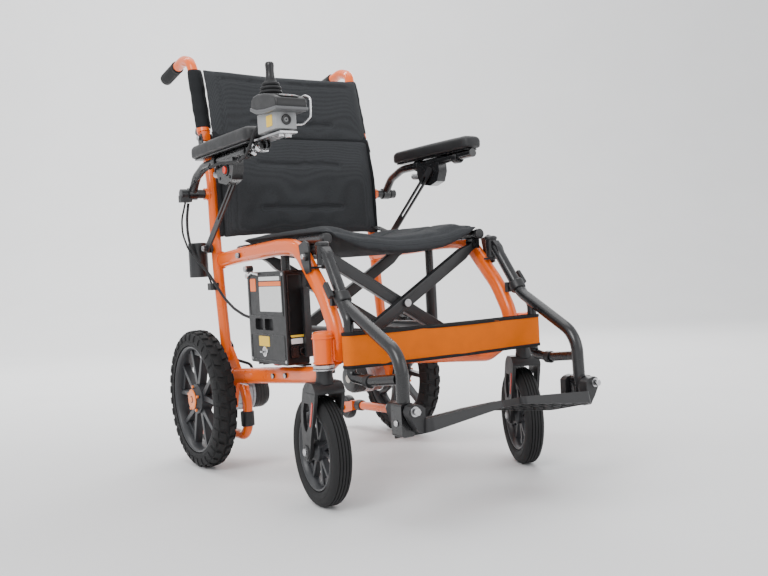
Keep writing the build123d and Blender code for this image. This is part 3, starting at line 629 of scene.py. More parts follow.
for sd, sx, ang in (("right", -1, -5.7), ("left", 1, -24.6)):
    mk(turned(caster_tyre(), sx, ang), f"caster_tread_{sd}", "tyre", f"caster_wheel_{sd}", replaces=[f"caster_tyre_{sd}"], slot="tyre", angle=50)
    mk(turned(mag_rim((0, 32, 100), 71.6, 30, 19, 40, 5.4, 5, 0.26, 9, 6.5, 12, 0.5), sx, ang), f"caster_mag_{sd}", "rim", f"caster_wheel_{sd}", replaces=[f"caster_rim_{sd}"], slot="wheel_rim", bevel=1.2, seg=2)
    mk(turned(caster_fork(), sx, ang), f"fork_{sd}", "plastic", f"caster_{sd}", replaces=[f"caster_fork_{sd}"], slot="black_plastic", bevel=1.5, seg=3)
    mk(turned(caster_bolts(), sx, ang), f"fork_bolts_{sd}", "zinc", f"caster_{sd}", bevel=0.3)
    mk(turned(reflector(), sx, ang), f"fork_reflector_{sd}", "red", f"caster_{sd}", bevel=0.4)


# ------------------------------------------------------------------ motors
def motor_drum():
    g = G()
    c = (0, 174, 152)
    g.lathe(c, (-1, 0, 0), [(113, 0), (113, 26), (114, 30.5), (117, 32.6), (121.5, 33), (121.5, 34.6), (123, 35.8), (148, 35.8), (149.5, 34.5), (149.5, 0)], 64)
    for k in range(3):
        x = 127 + k * 7
        g.lathe(c, (-1, 0, 0), [(x, 35.4), (x + .8, 36.5), (x + 2.6, 36.5), (x + 3.4, 35.4)], 64, closed=True)
    return g


def motor_body():
    g = G()
    c = (0, 174, 152)
    g.lathe(c, (-1, 0, 0), [(149.5, 0), (149.5, 35.2), (151, 36.8), (156, 36.8), (157, 35.0), (160, 35.0), (161, 36.9), (166, 36.9), (167, 35.0), (170, 35.0), (171, 36.9),
                            (176, 36.9), (178, 34.5), (184, 34.0), (190, 36.2), (198.4, 36.9), (198.4, 0)], 72)
    for k in range(10):
        a = 2 * math.pi * k / 10
        y, z = 174 + 35.2 * math.cos(a), 152 + 35.2 * math.sin(a)
        g.rod((-179, y, z), (-196, y, z), 1.6, 12, 0.5)
    return g


def motor_flange():
    g = G()
    c = (0, 174, 152)
    g.lathe(c, (-1, 0, 0), [(207.8, 0), (207.8, 44), (209, 45), (214, 45), (216, 42), (222, 38), (231, 34), (232, 30), (232, 0)], 64)
    g.rod((-231, 174, 152), (-290, 174, 152), 7.95, 32)
    for k in range(6):
        a = 2 * math.pi * k / 6 + 0.2
        y, z = 174 + 40.5 * math.cos(a), 152 + 40.5 * math.sin(a)
        g.hexn((-213.5, y, z), (-217.5, y, z), 3.8)
    return g


def motor_end():
    g = G()
    g.lathe((0, 174, 152), (-1, 0, 0), [(111.2, 0), (111.2, 9.5), (112.4, 10.4), (113.4, 10.4), (113.4, 0)], 36)
    return g


def motor_ring():
    g = G()
    g.lathe((0, 174, 152), (-1, 0, 0), [(199, 0), (199, 37.1), (206.8, 37.1), (206.8, 0)], 64)
    g.lathe((0, 174, 152), (-1, 0, 0), [(196.8, 36.6), (196.9, 38.4), (198.3, 38.4), (198.6, 36.6)], 64, closed=True)
    return g


pair(motor_drum, "motor_drum", "motor", "frame", replaces=("motor",), slot="motor_case", angle=30)
pair(motor_body, "motor_body", "cast", "frame", slot="motor_case", angle=25)
pair(motor_flange, "motor_flange", "motor", "frame", slot="motor_case", angle=30, bevel=0.5)
pair(motor_end, "motor_end_cap", "cream", "frame", angle=30)
pair(motor_ring, "motor_ring", "chrome", "frame", angle=30)


def motor_cable():
    g = G()
    p = fillet_path([(-132, 188, 180), (-132, 196, 212), (-168, 190, 226), (-186, 176, 236), (-190, 164, 262), (-199, 158, 276)], [12, 20, 10, 16], 8)
    g.pipe(resample(p, 5), 3.4, 14)
    g.lathe((-132, 187, 176), (0, 0.2, 1), [(0, 0), (0, 6.2), (7, 6.2), (12, 4.6), (12, 0)], 24)
    return g


pair(motor_cable, "motor_cable", "rubber", "frame")


# ------------------------------------------------------------------ anti-tip wheels and knuckles
def tip_wheel():
    g = G()
    g.lathe((-203, 335, 55), (1, 0, 0), [(-11, 4.2), (-11, 10), (-9.5, 12), (-7, 12.5), (-7, 19), (-9.5, 21), (-10.8, 25), (-8, 29.6), (-3, 30.8), (3, 30.8), (8, 29.6),
                                         (10.8, 25), (9.5, 21), (7, 19), (7, 12.5), (9.5, 12), (11, 10), (11, 4.2)], 56, closed=True)
    return g


pair(tip_wheel, "tip_roller", "plastic", "tip_wheel", replaces=("anti_tip_wheel",), slot="black_plastic", angle=35)


def tip_knuckle():
    g = G()
    pts = [(-203, 74, 112), (-203, 72.5, 84)]
    g.lathe((-203, 73, 126), (0, -0.02, -1), [(0, 10.4), (0, 13.5), (2, 14.6), (30, 14.6), (32, 13.5), (32, 10.4)], 32, closed=True)
    g.lathe((-203, 283, 64.5), (0, 1, -0.04), [(-22, 10.4), (-22, 12.6), (-20, 13.6), (2, 13.6), (2, 10.4)], 32, closed=True)
    g.rod((-219.5, 335, 55), (-222.4, 335, 55), 7.0, 24)
    g.rod((-186.5, 335, 55), (-183.6, 335, 55), 7.0, 24)
    return g


pair(tip_knuckle, "tip_knuckle", "plastic", "frame", slot="black_plastic", bevel=0.6)


# ------------------------------------------------------------------ push grips
def grip():
    g = G()
    prof = [(0, 0), (0, 14.0), (1.0, 15.0), (4.0, 15.2), (5.0, 14.4)]
    x = 8.0
    while x < 70:
        prof += [(x, 13.9), (x + 0.9, 14.8), (x + 3.4, 14.8), (x + 4.3, 13.9)]
        x += 6.0
    prof += [(76, 14.4), (80, 14.9), (84, 14.6), (86.0, 11.5), (86.2, 0)]
    g.lathe((-213, 342.5, 924.6), (0, 1, -0.148), prof, 44)
    return g


pair(grip, "handle_grip", "rubber", "back", replaces=("push_grip",), slot="grip_rubber", angle=50)


# ------------------------------------------------------------------ armrest pads, buttons and details
def arm_pad():
    """Moulded pad: crowned top, sides rolled under, flat where it sits on its plate."""
    g = G()
    x0, W2, y0, y1, z0 = -260.0, 24.0, -182.0, 122.0, 672.0
    nx, ny = 28, 60
    vs, fs = [], []
    for j in range(ny + 1):
        v = j / ny
        y = y0 + (y1 - y0) * v
        e = min(v, 1 - v) * (y1 - y0)
        f = min(1.0, e / 22.0)
        end = math.sqrt(max(0.0, 1 - (1 - f) ** 2)) if f < 1 else 1.0
        wv = W2 * (0.80 + 0.20 * end) * (1 - 0.03 * math.cos(v * 2 * math.pi))
        hv = 9 + 20.2 * (0.45 + 0.55 * end) + 0.8 * math.sin(v * math.pi)
        for i in range(nx):
            a = 2 * math.pi * i / nx
            cx, cz = math.cos(a), math.sin(a)
            ex = abs(cx) ** 0.55 * (1 if cx > 0 else -1)
            ez = abs(cz) ** (0.62 if cz > 0 else 0.30) * (1 if cz > 0 else -1)
            zc = z0 + hv / 2
            sc = max(0.04, end ** 0.45) if f < 1 else 1
            vs.append((x0 + ex * wv * sc, y, zc + ez * hv / 2 * sc))
    for j in range(ny):
        for i in range(nx):
            i2 = (i + 1) % nx
            fs.append((j * nx + i, j * nx + i2, (j + 1) * nx + i2, (j + 1) * nx + i))
    fs.append(tuple(reversed(range(nx))))
    fs.append(tuple(range(ny * nx, (ny + 1) * nx)))
    g.add(vs, fs)
    return g


for sd, sx in SIDES:
    g = arm_pad() if sx < 0 else mirrored(arm_pad())
    o = mk(g, f"arm_pad_{sd}", "pad", f"armrest_{sd}", sub=1, replaces=[f"armrest_pad_{sd}"], slot="pad_skin", angle=75)


def pad_plate():
    g = G()
    g.prism(rrect(-277, -243, -168, 108, 6), 669.3, 671.9, "z")
    for y in (-120, 30):
        g.box(-262, -250, y - 9, y + 9, 662, 670)
        g.lathe((-256, y, 658), (0, 1, 0), [(-9, 9.7), (-9, 12.2), (-7.5, 13), (7.5, 13), (9, 12.2), (9, 9.7)], 32, closed=True)
    return g


pair(pad_plate, "pad_plate", "plastic_smooth", "armrest", bevel=0.6)


def arm_button():
    g = G()
    g.lathe((0, -32, 634), (-1, 0, 0), [(245.9, 0), (245.9, 7.6), (264, 7.6), (266, 8.2), (269.2, 8.0), (270, 6.9), (269.3, 5.2), (269.1, 0)], 40)
    return g


pair(arm_button, "latch_button", "red", "arm_button", replaces=("armrest_button",), slot="red_plastic", angle=40)


def arm_bits():
    g = G()
    # screws and ribs of the latch housing
    for y, z in ((-50, 646), (-2, 648), (2, 620), (-48, 618)):
        g.rod((-264.6, y, z), (-266.8, y, z), 3.2, 20, 0.5)
    g.lathe((0, -32, 634), (-1, 0, 0), [(264.6, 9.2), (264.6, 12.6), (265.8, 13.2), (267.2, 12.8), (267.6, 11.8), (267.2, 9.2)], 40, closed=True)
    return g


pair(arm_bits, "latch_trim", "plastic_smooth", "armrest", bevel=0.3)


def spring_coil():
    g = G()
    p0, p1 = np.array((-253.0, 6, 629.3)), np.array((-253.0, 50, 633.8))
    d = (p1 - p0) / np.linalg.norm(p1 - p0)
    u = np.array((1.0, 0, 0))
    w = np.cross(d, u)
    pts = []
    turns = 9
    for k in range(turns * 14 + 1):
        a = 2 * math.pi * k / 14
        pts.append(p0 + (p1 - p0) * k / (turns * 14) + (u * math.cos(a) + w * math.sin(a)) * 6.6)
    g.pipe(pts, 1.05, 8)
    return g


pair(spring_coil, "latch_spring", "zinc", "armrest")


def arm_knob():
    g = G()
    g.lathe((0, 184, 606), (-1, 0, 0), [(270.2, 0), (270.2, 10.2), (271.5, 11.2), (276, 11.2), (278, 10.4), (281, 9.6), (283.2, 7.4), (283.8, 0)], 32)
    return g


pair(arm_knob, "pivot_knob", "satin_black", "frame", slot="zinc_steel")


# ------------------------------------------------------------------ soft parts by cloth simulation
def back_y(z):
    return float(np.interp(z, [500, 640, 700, 735, 750, 800, 892, 900], [153, 157, 171, 175.8, 181.5, 195.5, 219.5, 221.5]))


def cloth_pad(g, name, mat, body, voxel, cap, pressure=4.0, smooth_rounds=2):
    """Remesh, inflate with cloth, cap the travel, apply; returns the object and its mesh."""
    o = mk(g, name, mat, body, smooth=False)
    o.parent = None
    rm = o.modifiers.new("remesh", "REMESH")
    rm.mode = "VOXEL"
    rm.voxel_size = voxel / 1000
    dg = bpy.context.evaluated_depsgraph_get()
    me = bpy.data.meshes.new_from_object(o.evaluated_get(dg))
    o.modifiers.clear()
    o.data = me
    n = len(me.vertices)
    co = np.zeros(n * 3)
    me.vertices.foreach_get("co", co)
    rest = co.reshape(-1, 3).copy()
    c = o.modifiers.new("cloth", "CLOTH")
    st = c.settings
    st.quality = 6
    st.mass = 0.3
    st.tension_stiffness = st.compression_stiffness = 22
    st.shear_stiffness = 12
    st.bending_stiffness = 0.6
    st.use_pressure = True
    st.uniform_pressure_force = pressure
    st.effector_weights.gravity = 0
    c.collision_settings.use_collision = False
    c.point_cache.frame_start, c.point_cache.frame_end = 1, 20
    sc = bpy.context.scene
    for fr in range(1, 21):
        sc.frame_set(fr)
    dg = bpy.context.evaluated_depsgraph_get()
    ev = o.evaluated_get(dg)
    got = np.zeros(n * 3)
    ev.data.vertices.foreach_get("co", got)
    got = got.reshape(-1, 3)
    o.modifiers.clear()
    sc.frame_set(1)
    d = got - rest
    L = np.linalg.norm(d, axis=1)
    lim = np.array([cap(p[0] * 1000 - SHX, p[1] * 1000 - SHY, p[2] * 1000) for p in rest]) / 1000
    k = np.minimum(1.0, lim / np.maximum(L, 1e-9))
    rest = rest + d * k[:, None]
    return o, me, rest


def vertex_normals(me):
    n = np.zeros(len(me.vertices) * 3)
    me.vertices.foreach_get("normal", n)
    return n.reshape(-1, 3)


def relax(me, P, rounds, lam=0.5):
    e = np.zeros(len(me.edges) * 2, int)
    me.edges.foreach_get("vertices", e)
    e = e.reshape(-1, 2)
    deg = np.zeros(len(P))
    np.add.at(deg, e[:, 0], 1)
    np.add.at(deg, e[:, 1], 1)
    for _ in range(rounds):
        s = np.zeros_like(P)
        np.add.at(s, e[:, 0], P[e[:, 1]])
        np.add.at(s, e[:, 1], P[e[:, 0]])
        P = P + lam * (s / deg[:, None] - P)
    return P


def finish_pad(o, me, P, mats, sub=1):
    me.vertices.foreach_set("co", P.ravel())
    me.update()
    for p in me.polygons:
        p.use_smooth = True
    me.materials.clear()
    for m in mats:
        me.materials.append(M[m])
    if sub:
        s = o.modifiers.new("sub", "SUBSURF")
        s.levels = s.render_levels = sub


def strip_solid(rows):
    """Closed solid from rows of (front point, back point) lists; rows[k] = list of (p_front, p_back)."""
    g = G()
    nr, nc = len(rows), len(rows[0])
    v, f = [], []
    for r in rows:
        for a, b in r:
            v.append(a)
            v.append(b)
    def I(r, c, s):
        return (r * nc + c) * 2 + s
    for r in range(nr - 1):
        for c in range(nc - 1):
            f.append((I(r, c, 0), I(r, c + 1, 0), I(r + 1, c + 1, 0), I(r + 1, c, 0)))
            f.append((I(r, c, 1), I(r + 1, c, 1), I(r + 1, c + 1, 1), I(r, c + 1, 1)))
    for r in range(nr - 1):
        for c in (0, nc - 1):
            q = (I(r, c, 0), I(r + 1, c, 0), I(r + 1, c, 1), I(r, c, 1))
            f.append(q if c == 0 else tuple(reversed(q)))
    for c in range(nc - 1):
        for r in (0, nr - 1):
            q = (I(r, c, 0), I(r, c, 1), I(r, c + 1, 1), I(r, c + 1, 0))
            f.append(q if r == 0 else tuple(reversed(q)))
    return g.add(v, f)


def back_pad(z0, z1, hw, sag):
    """Upholstered back panel between two heights; bowed back a little between the posts."""
    rows = []
    for z in np.linspace(z0, z1, 24):
        r = []
        for x in np.linspace(-hw, hw, 28):
            y = back_y(z) + sag * (1 - (x / hw) ** 2)
            t = 9.5 * (1 - 0.55 * abs(x / hw) ** 6)
            r.append(((x, y - t, z), (x, y + t * 0.8, z)))
        rows.append(r)
    return strip_solid(rows)


rng = np.random.RandomState(7)
WV = rng.uniform(0, 6.28, 24)


def shape_back(me, P, zs, hw):
    """Sewn channels, side seams and light creases on the front face."""
    N = vertex_normals(me)
    X, Z = P[:, 0] * 1000 - SHX, P[:, 2] * 1000
    front = np.clip(-N[:, 1] * 1.6 - 0.2, 0, 1)
    depth = np.zeros(len(P))
    inner = 1 / (1 + np.exp((np.abs(X) - (hw - 34)) / 2.5))
    for zc in zs:
        wob = 1.0 * np.sin(X / 23 + zc) + 0.5 * np.sin(X / 9 + zc * 2)
        s = (Z - zc - wob) / 4.6
        half = 168 if zc > 860 else 108
        run = 1 / (1 + np.exp((np.abs(X) - half) / 2.5))
        depth += (6.6 if half < 150 else 4.5) * np.exp(-s * s) * run
        puck = np.sin(X / 6.5 + zc) * np.exp(-((Z - zc) / 15.0) ** 2) * np.exp(-1.0 * (np.abs(s) < 0.4))
        depth += 0.5 * puck * run
    side = (np.abs(X) - (hw - 30)) / 2.6
    depth += 4.4 * np.exp(-side * side) * np.where(X < 0, 1.0, 0.35)
    edge = np.clip((np.abs(X) - (hw - 30)) / 30, 0, 1)
    depth += 2.2 * edge
    depth -= 0.8 * np.sin(X / 41 + Z / 37) * inner + 0.5 * np.sin(X / 17 - Z / 29 + 2) * inner
    P = P.copy()
    P[:, 1] += depth * front / 1000
    return P


for part, body, z0, z1, zs, rep in (("lower", "frame_right", 506, 734.2, (570, 672), "back_panel_lower"),
                                    ("upper", "back_right", 735.8, 893, (770, 869), "back_panel_upper")):
    def cap(x, y, z, z0=z0, z1=z1):
        e = min(abs(z - 735), 60) / 60
        side = min(1.0, (206 - abs(x)) / 30) if abs(x) < 206 else 0.0
        return 0.4 + 9.0 * e * max(0.12, side)
    o, me, P = cloth_pad(back_pad(z0 + 1, z1 - 1, 203, 3), f"back_pad_{part}", "fabric", body, 5.5, cap)
    P = relax(me, P, 12)
    ze, zf = (z0 + 0.5, 734.7) if part == "lower" else (735.3, z1)
    pz = P[:, 2] * 1000
    P[:, 2] = (ze + (pz - pz.min()) / (pz.max() - pz.min()) * (zf - ze)) / 1000
    px = P[:, 0] * 1000 - SHX
    P[:, 0] = (px * 204.6 / np.abs(px).max() + SHX) / 1000
    me.vertices.foreach_set("co", P.ravel())
    me.update()
    P = shape_back(me, P, zs, 203)
    X = P[:, 0] * 1000 - SHX
    P[:, 0] = (np.clip(X, -205, 205) + SHX) / 1000
    P[:, 2] = np.clip(P[:, 2] * 1000, z0 - 0.6 if part == "upper" else 500, z1 + 0.4 if part == "lower" else 899) / 1000
    finish_pad(o, me, P, ["fabric"])
    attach(o, body)
    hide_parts(rep)
    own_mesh(o)


for part, body, line in (("lower", "frame_right", [(172.5, 724), (177.5, 724), (179, 734.9), (173, 734.9)]),
                         ("upper", "back_right", [(173.3, 735.1), (179.3, 735.1), (183, 746), (177, 746)])):
    g = G()
    g.prism(line, -203, 203, "x")
    o = mk(g, f"back_edge_{part}", "fabric_plain", body, slot="mesh_fabric")
    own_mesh(o)


def post_at(z):
    return float(np.interp(z, [735, 760, 790, 820, 850, 880, 900], [208, 215, 223, 231, 238, 246, 251]))


def sleeve():
    """Fabric sleeve of the upper back round its post, with a flap towards the panel."""
    g = G()
    ring_pts = []
    zs = np.linspace(757, 897, 30)
    seg = 40
    for t, (ro) in ((0, 16.6),):
        v, f = [], []
        n = len(zs)
        for k, z in enumerate(zs):
            y = post_at(z)
            rr = ro + 0.5 * math.sin(z / 9.0) + 0.3 * math.sin(z / 4.1 + 1)
            if k in (0, n - 1):
                rr -= 2.0
            for i in range(seg):
                a = 2 * math.pi * i / seg
                x = -209 + rr * math.cos(a)
                yy = y + rr * math.sin(a) * 1.02
                if math.cos(a) > 0.35:
                    w = (math.cos(a) - 0.35) / 0.65
                    x += 2.0 * w
                v.append((x, yy, z))
        # inner wall just clear of the post
        for k, z in enumerate(zs[::-1]):
            y = post_at(z)
            for i in range(seg):
                a = 2 * math.pi * i / seg
                v.append((-209 + 12.7 * math.cos(a), y + 12.9 * math.sin(a), z))
        rows = 2 * n
        for k in range(rows):
            k2 = (k + 1) % rows
            for i in range(seg):
                i2 = (i + 1) % seg
                f.append((k * seg + i, k * seg + i2, k2 * seg + i2, k2 * seg + i))
        g.add(v, f)
    return g


pair(sleeve, "back_sleeve", "fabric_plain", "back", slot="mesh_fabric", angle=60)


def lower_sleeve():
    """Side hem of the lower back: a narrow padded edge laced to the inner side of the upright."""
    g = G()
    v, f = [], []
    zs = np.linspace(508, 728, 36)
    seg = 16
    for k, z in enumerate(zs):
        y = back_y(z) + 1
        w = 1.0 if 0 < k < len(zs) - 1 else 0.7
        for i in range(seg):
            a = 2 * math.pi * i / seg
            v.append((-203.4 + 3.6 * w * math.cos(a), y + (9.5 + 0.4 * math.sin(z / 8)) * w * math.sin(a), z))
    for k in range(len(zs) - 1):
        for i in range(seg):
            i2 = (i + 1) % seg
            f.append((k * seg + i, k * seg + i2, (k + 1) * seg + i2, (k + 1) * seg + i))
    f.append(tuple(reversed(range(seg))))
    f.append(tuple(range((len(zs) - 1) * seg, len(zs) * seg)))
    return g.add(v, f)


pair(lower_sleeve, "back_hem", "fabric_plain", "frame", slot="mesh_fabric", angle=60)


# ------------------------------------------------------------------ seat
def seat_shape():
    rows = []
    for x in np.linspace(-184, 184, 40):
        r = []
        u = abs(x) / 184
        top = float(np.interp(abs(x), [0, 50, 100, 140, 165, 178, 184], [475, 477.5, 485, 496, 502, 502, 498]))
        bot = float(np.interp(abs(x), [0, 50, 100, 140, 160, 170, 184], [448.5, 451, 459, 475, 486.3, 492, 493]))
        for y in np.linspace(-281, 100, 44):
            k = min(1.0, (y + 281) / 34)
            drop = 7 * (1 - k) ** 2
            r.append(((x, y, top - drop), (x, y, bot - drop * 0.3)))
        rows.append(r)
    return strip_solid(rows)


def seat_cap(x, y, z):
    mid = 468 + 26 * (abs(x) / 184) ** 2
    c = 7.0 if z > mid - 4 else 2.5
    if abs(x) > 164:
        c = 1.4 if z > 490 else 0.4
    return c


o, me, P = cloth_pad(seat_shape(), "seat_pad", "fabric", "seat_rail_right", 5.5, seat_cap)
P = relax(me, P, 8)
me.vertices.foreach_set("co", P.ravel())
me.update()
N = vertex_normals(me)
X, Y = P[:, 0] * 1000 - SHX, P[:, 1] * 1000 - SHY
up = np.clip(N[:, 2] * 1.5, 0, 1)
dep = 2.6 * np.exp(-((Y + 262) / 3.6) ** 2) + 2.0 * np.exp(-((np.abs(X) - 158) / 3.4) ** 2) + 2.0 * np.exp(-((Y - 88) / 3.6) ** 2)
dep += 0.9 * np.sin(X / 33 + Y / 55) + 0.5 * np.sin(X / 15 - Y / 31 + 1.3)
for yc in (-150, -30):
    dep += 3.4 * np.exp(-((Y - yc) / 5.0) ** 2) * (np.abs(X) < 156)
P = P.copy()
P[:, 2] -= dep * up / 1000
P[:, 0] = (np.clip(P[:, 0] * 1000 - SHX, -186.5, 186.5) + SHX) / 1000
finish_pad(o, me, P, ["fabric"])
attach(o, "seat_rail_right")
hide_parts("seat_cushion")
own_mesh(o)


# ------------------------------------------------------------------ calf strap
def strap_path(off, n_end=10, n_run=60):
    """Stadium round the two brace tubes, as a closed list of points at mid height."""
    pts = []
    R = 11.9 + off
    for k in range(n_run + 1):                     # front run, right to left
        x = -210 + 420 * k / n_run
        bow = 1.8 * math.sin(math.pi * k / n_run) + 0.5 * math.sin(k / 5.0)
        pts.append((x, -391 - R - bow * 0.5, "f"))
    for k in range(1, n_end):
        a = -math.pi / 2 + math.pi * k / n_end
        pts.append((210 + R * math.cos(a), -391 + R * math.sin(a), "e"))
    for k in range(n_run + 1):
        x = 210 - 420 * k / n_run
        pts.append((x, -391 + R - 0.8 * math.sin(math.pi * k / n_run), "b"))
    for k in range(1, n_end):
        a = math.pi / 2 + math.pi * k / n_end
        pts.append((-210 + R * math.cos(a), -391 + R * math.sin(a), "e"))
    return pts


def band(z0, z1, off, th, rows):
    g = G()
    pts = strap_path(0)
    n = len(pts)
    v, f = [], []
    loop = []
    for j in range(rows + 1):
        loop.append((j / rows, th / 2))
    for j in range(rows, -1, -1):
        loop.append((j / rows, -th / 2))
    m = len(loop)
    for i, (x, y, kind) in enumerate(pts):
        a, b = np.array(pts[i - 1][:2]), np.array(pts[(i + 1) % n][:2])
        d = (b - a) / np.linalg.norm(b - a)
        nrm = np.array([d[1], -d[0]])
        for t, s in loop:
            z = z0 + (z1 - z0) * t
            wave = (0.9 * math.sin(x / 31 + t * 4) + 0.5 * math.sin(x / 13 + t * 7)) if kind == "f" else 0.25 * math.sin(x / 19)
            edge = 1 - 0.25 * abs(2 * t - 1) ** 4
            p = np.array([x, y]) + nrm * (off + s * edge + wave * 0.55)
            sag = -1.4 * math.sin(math.pi * (x + 210) / 420) if kind in "fb" else 0
            v.append((p[0], p[1], z + sag))
    for i in range(n):
        i2 = (i + 1) % n
        for k in range(m):
            k2 = (k + 1) % m
            f.append((i * m + k, i * m + k2, i2 * m + k2, i2 * m + k))
    return g.add(v, f)


def squashed(o):
    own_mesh(o)
    return o


o = mk(band(253, 311, 0.0, 2.2, 10), "calf_band", "strap", "frame_right", replaces=["calf_strap"], slot="strap_fabric", angle=60)
squashed(o)
for nm, za, zb in (("top", 307.5, 313.0), ("bottom", 250.8, 256.6)):
    o = mk(band(za, zb, 0.0, 4.2, 3), f"calf_binding_{nm}", "binding", "frame_right", angle=60)
    squashed(o)


# ------------------------------------------------------------------ footplates
TILT = math.radians(13)


def tilt(p):
    y, z = p[1] + 572, p[2] - 172
    return (p[0], -572 + y * math.cos(TILT) + z * math.sin(TILT), 172 - y * math.sin(TILT) + z * math.cos(TILT))


def footplate():
    g = G()
    top = lambda x: 181 + (x + 182) / 167 * 10
    low = lambda x: 159 + (x + 182) / 167 * 20
    outer = rrect(-181.5, -15, -571.5, -458.5, 13, 6)
    outer = [(min(max(p[0], -181.5), -15), p[1]) for p in outer]
    inner = rrect(-177, -19.5, -567, -463, 9, 6)
    notch = [p for p in outer]
    s = G()
    s.prism(notch, -4, 0, "z")
    s.prism(outer, -30, -3.4, "z", holes=[inner])
    for x in np.linspace(-160, -40, 6):
        s.box(x - 1.3, x + 1.3, -566.8, -463.2, -29, -3.5)
    for y in (-540, -510, -488):
        s.box(-176.8, -20, y - 1.3, y + 1.3, -29, -3.5)
    # low grip ridges on the tread
    for k, x in enumerate(np.linspace(-170, -28, 19)):
        s.prism(rrect(x - 1.7, x + 1.7, -560 if abs(x + 182) > 20 else -560, -470, 1.6, 3), -0.4, 0.9, "z")
    v = []
    for x, y, h in s.v:
        d = top(x) - low(x)
        z = top(x) + (h if h > -5 else -d * (h / -30.0))
        if x > -60:
            xe = -18.5 - 15.0 * (y + 572) / 112
            x = -60 + (x + 60) * (xe + 60) / 45
        v.append((x, y, z))
    s.v = v
    # tilt the plate; ears and solid barrels at the outer edge by the hanger tube
    s.move(tilt)
    g.join(s)
    FZ = 193
    for y0, y1 in ((-561, -544), (-508, -494)):
        zz = 160 if y0 < -530 else 150
        ear = [(-178, zz - 4), (-178, FZ + 3), (-184, FZ + 7.5), (-190, FZ + 9.8), (-199, FZ + 11), (-206, FZ + 8), (-210, FZ), (-208, FZ - 8), (-198, zz + 8), (-190, zz - 2)]
        g.prism(ear, y0, y1, "y")
        g.rod((-199, y0 - 0.8, FZ), (-199, y1 + 0.8, FZ), 9.2, 32)
    return g


pair(footplate, "foot_plate", "plastic", "footplate", replaces=("footplate",), slot="black_plastic", bevel=1.0, seg=2)


def foot_bolts():
    g = G()
    g.hexn((-199, -567, 193), (-199, -571.5, 193), 6.2)
    g.lathe((-199, -562, 193), (0, -1, 0), [(0, 0), (0, 8.2), (1.6, 8.2), (1.6, 0)], 28)
    g.hexn((-199, -489, 193), (-199, -485, 193), 6.0)
    g.rod((-211, -526, 172), (-213.6, -526, 172), 5.2, 24)
    g.rod((-222, -268, 448), (-229.4, -268, 448), 5.6, 6)
    g.lathe((-198, -292, 468), (0, 0, 1), [(0, 0), (0, 6.5), (3, 6.5), (4.2, 5.2), (4.2, 0)], 28)
    return g


pair(foot_bolts, "hanger_bolts", "zinc", "hanger", bevel=0.3)


def hanger_caps():
    g = G()
    g.lathe((-198, -291, 466), (0, 0, 1), [(0, 6.8), (0, 12.4), (1.5, 13.4), (5, 13.0), (7.5, 10.4), (8.4, 6.8)], 40, closed=True)
    # sleeve clamp on the knee and the lever collar
    a, b = np.array((-202.0, -356, 378)), np.array((-202.0, -366, 363))
    d = b - a
    g.lathe(a, d, [(0, 11.2), (0, 14.0), (1.5, 15.2), (float(np.linalg.norm(d)) - 1.5, 15.2), (float(np.linalg.norm(d)), 14), (float(np.linalg.norm(d)), 11.2)], 36, closed=True)
    g.lathe((-205, -440, 232), (0.02, -1, -0.02), [(-6, 9.2), (-6, 11.6), (6, 11.6), (6, 9.2)], 28, closed=True)
    return g


pair(hanger_caps, "hanger_collars", "plastic", "hanger", slot="black_plastic", bevel=0.3)


# ------------------------------------------------------------------ controller
def ctl_body():
    g = G()
    prof = [(-314, 709), (-315, 718), (-313, 727), (-301, 732.5), (-284, 738), (-262, 742.5), (-240, 745), (-222, 744), (-212, 738), (-210.5, 729), (-212, 722), (-236, 713.5), (-270, 710)]
    g.prism(prof, -286.8, -225.2, "x")
    return g


mk(ctl_body(), "controller_shell", "plastic", "armrest_right", bevel=4.5, seg=4, replaces=["controller_housing"], slot="gloss_black")
g = G()
g.prism([(-316.2, 704.5), (-316.6, 711.5), (-270, 713.2), (-236, 717), (-210.5, 725.5), (-209.2, 719), (-234, 709), (-270, 705.2)], -288.6, -223.4, "x")
mk(g, "controller_rim", "dark_grey", "armrest_right", bevel=2.6, seg=3)
g = G()
g.prism(rrect(-275, -237, -310.5, -288.5, 4), 0, 1.0, "z")
g.move(lambda p: (p[0], p[1], 733.4 + (p[1] + 299.5) * 0.335 + p[2]))
mk(g, "controller_keypad", "plastic_smooth", "armrest_right", bevel=0.4)
g = G()
for x, r in ((-268, 3.4), (-256, 3.4), (-244, 3.4)):
    g.lathe((x, -298, 734.4), (0, -0.31, 1), [(0, 0), (0, r), (1.0, r * 0.9), (1.3, 0)], 24)
mk(g, "controller_keys", "grey_plastic", "armrest_right", bevel=0.2)
g = G()
for x, r in ((-262, 1.2), (-250, 1.2)):
    g.lathe((x, -305.5, 732.1), (0, -0.31, 1), [(0, 0), (0, r), (0.8, r * 0.8), (0.9, 0)], 16)
mk(g, "controller_lamps", "red", "armrest_right")
g = G()
g.prism(rrect(-279, -235, -292, -217, 5), 676, 710, "z")
for z in (684, 690, 696, 702):
    g.box(-236, -234.2, -286, -226, z, z + 2.2)
mk(g, "controller_base", "grey_plastic", "armrest_right", bevel=1.6, seg=3)
g = G()
g.prism(rrect(-281, -258, 682, 702, 2.0), -279.8, -279.0, "x")
mk(g, "controller_label", "yellow", "armrest_right", bevel=0.15)
g = G()
g.lathe((-257, -292, 692), (0, -1, 0), [(0, 4.2), (0, 9.4), (2.0, 9.4), (3.0, 8.4), (3.0, 6.6), (1.0, 6.2), (1.0, 4.2)], 36, closed=True)
g.rod((-257, -291.8, 692), (-257, -294.2, 692), 1.5, 16)
mk(g, "controller_socket", "plastic_smooth", "armrest_right", bevel=0.2)
g = G()
wire = fillet_path([(-229, -280, 728), (-221.5, -300, 735), (-219.5, -316, 728), (-219.5, -314, 694), (-224, -294, 684), (-236, -288, 684)], [8, 8, 9, 9, 5], 8)
g.pipe(wire, 1.9, 14)
mk(g, "controller_guard", "chrome", "armrest_right")
g = G()
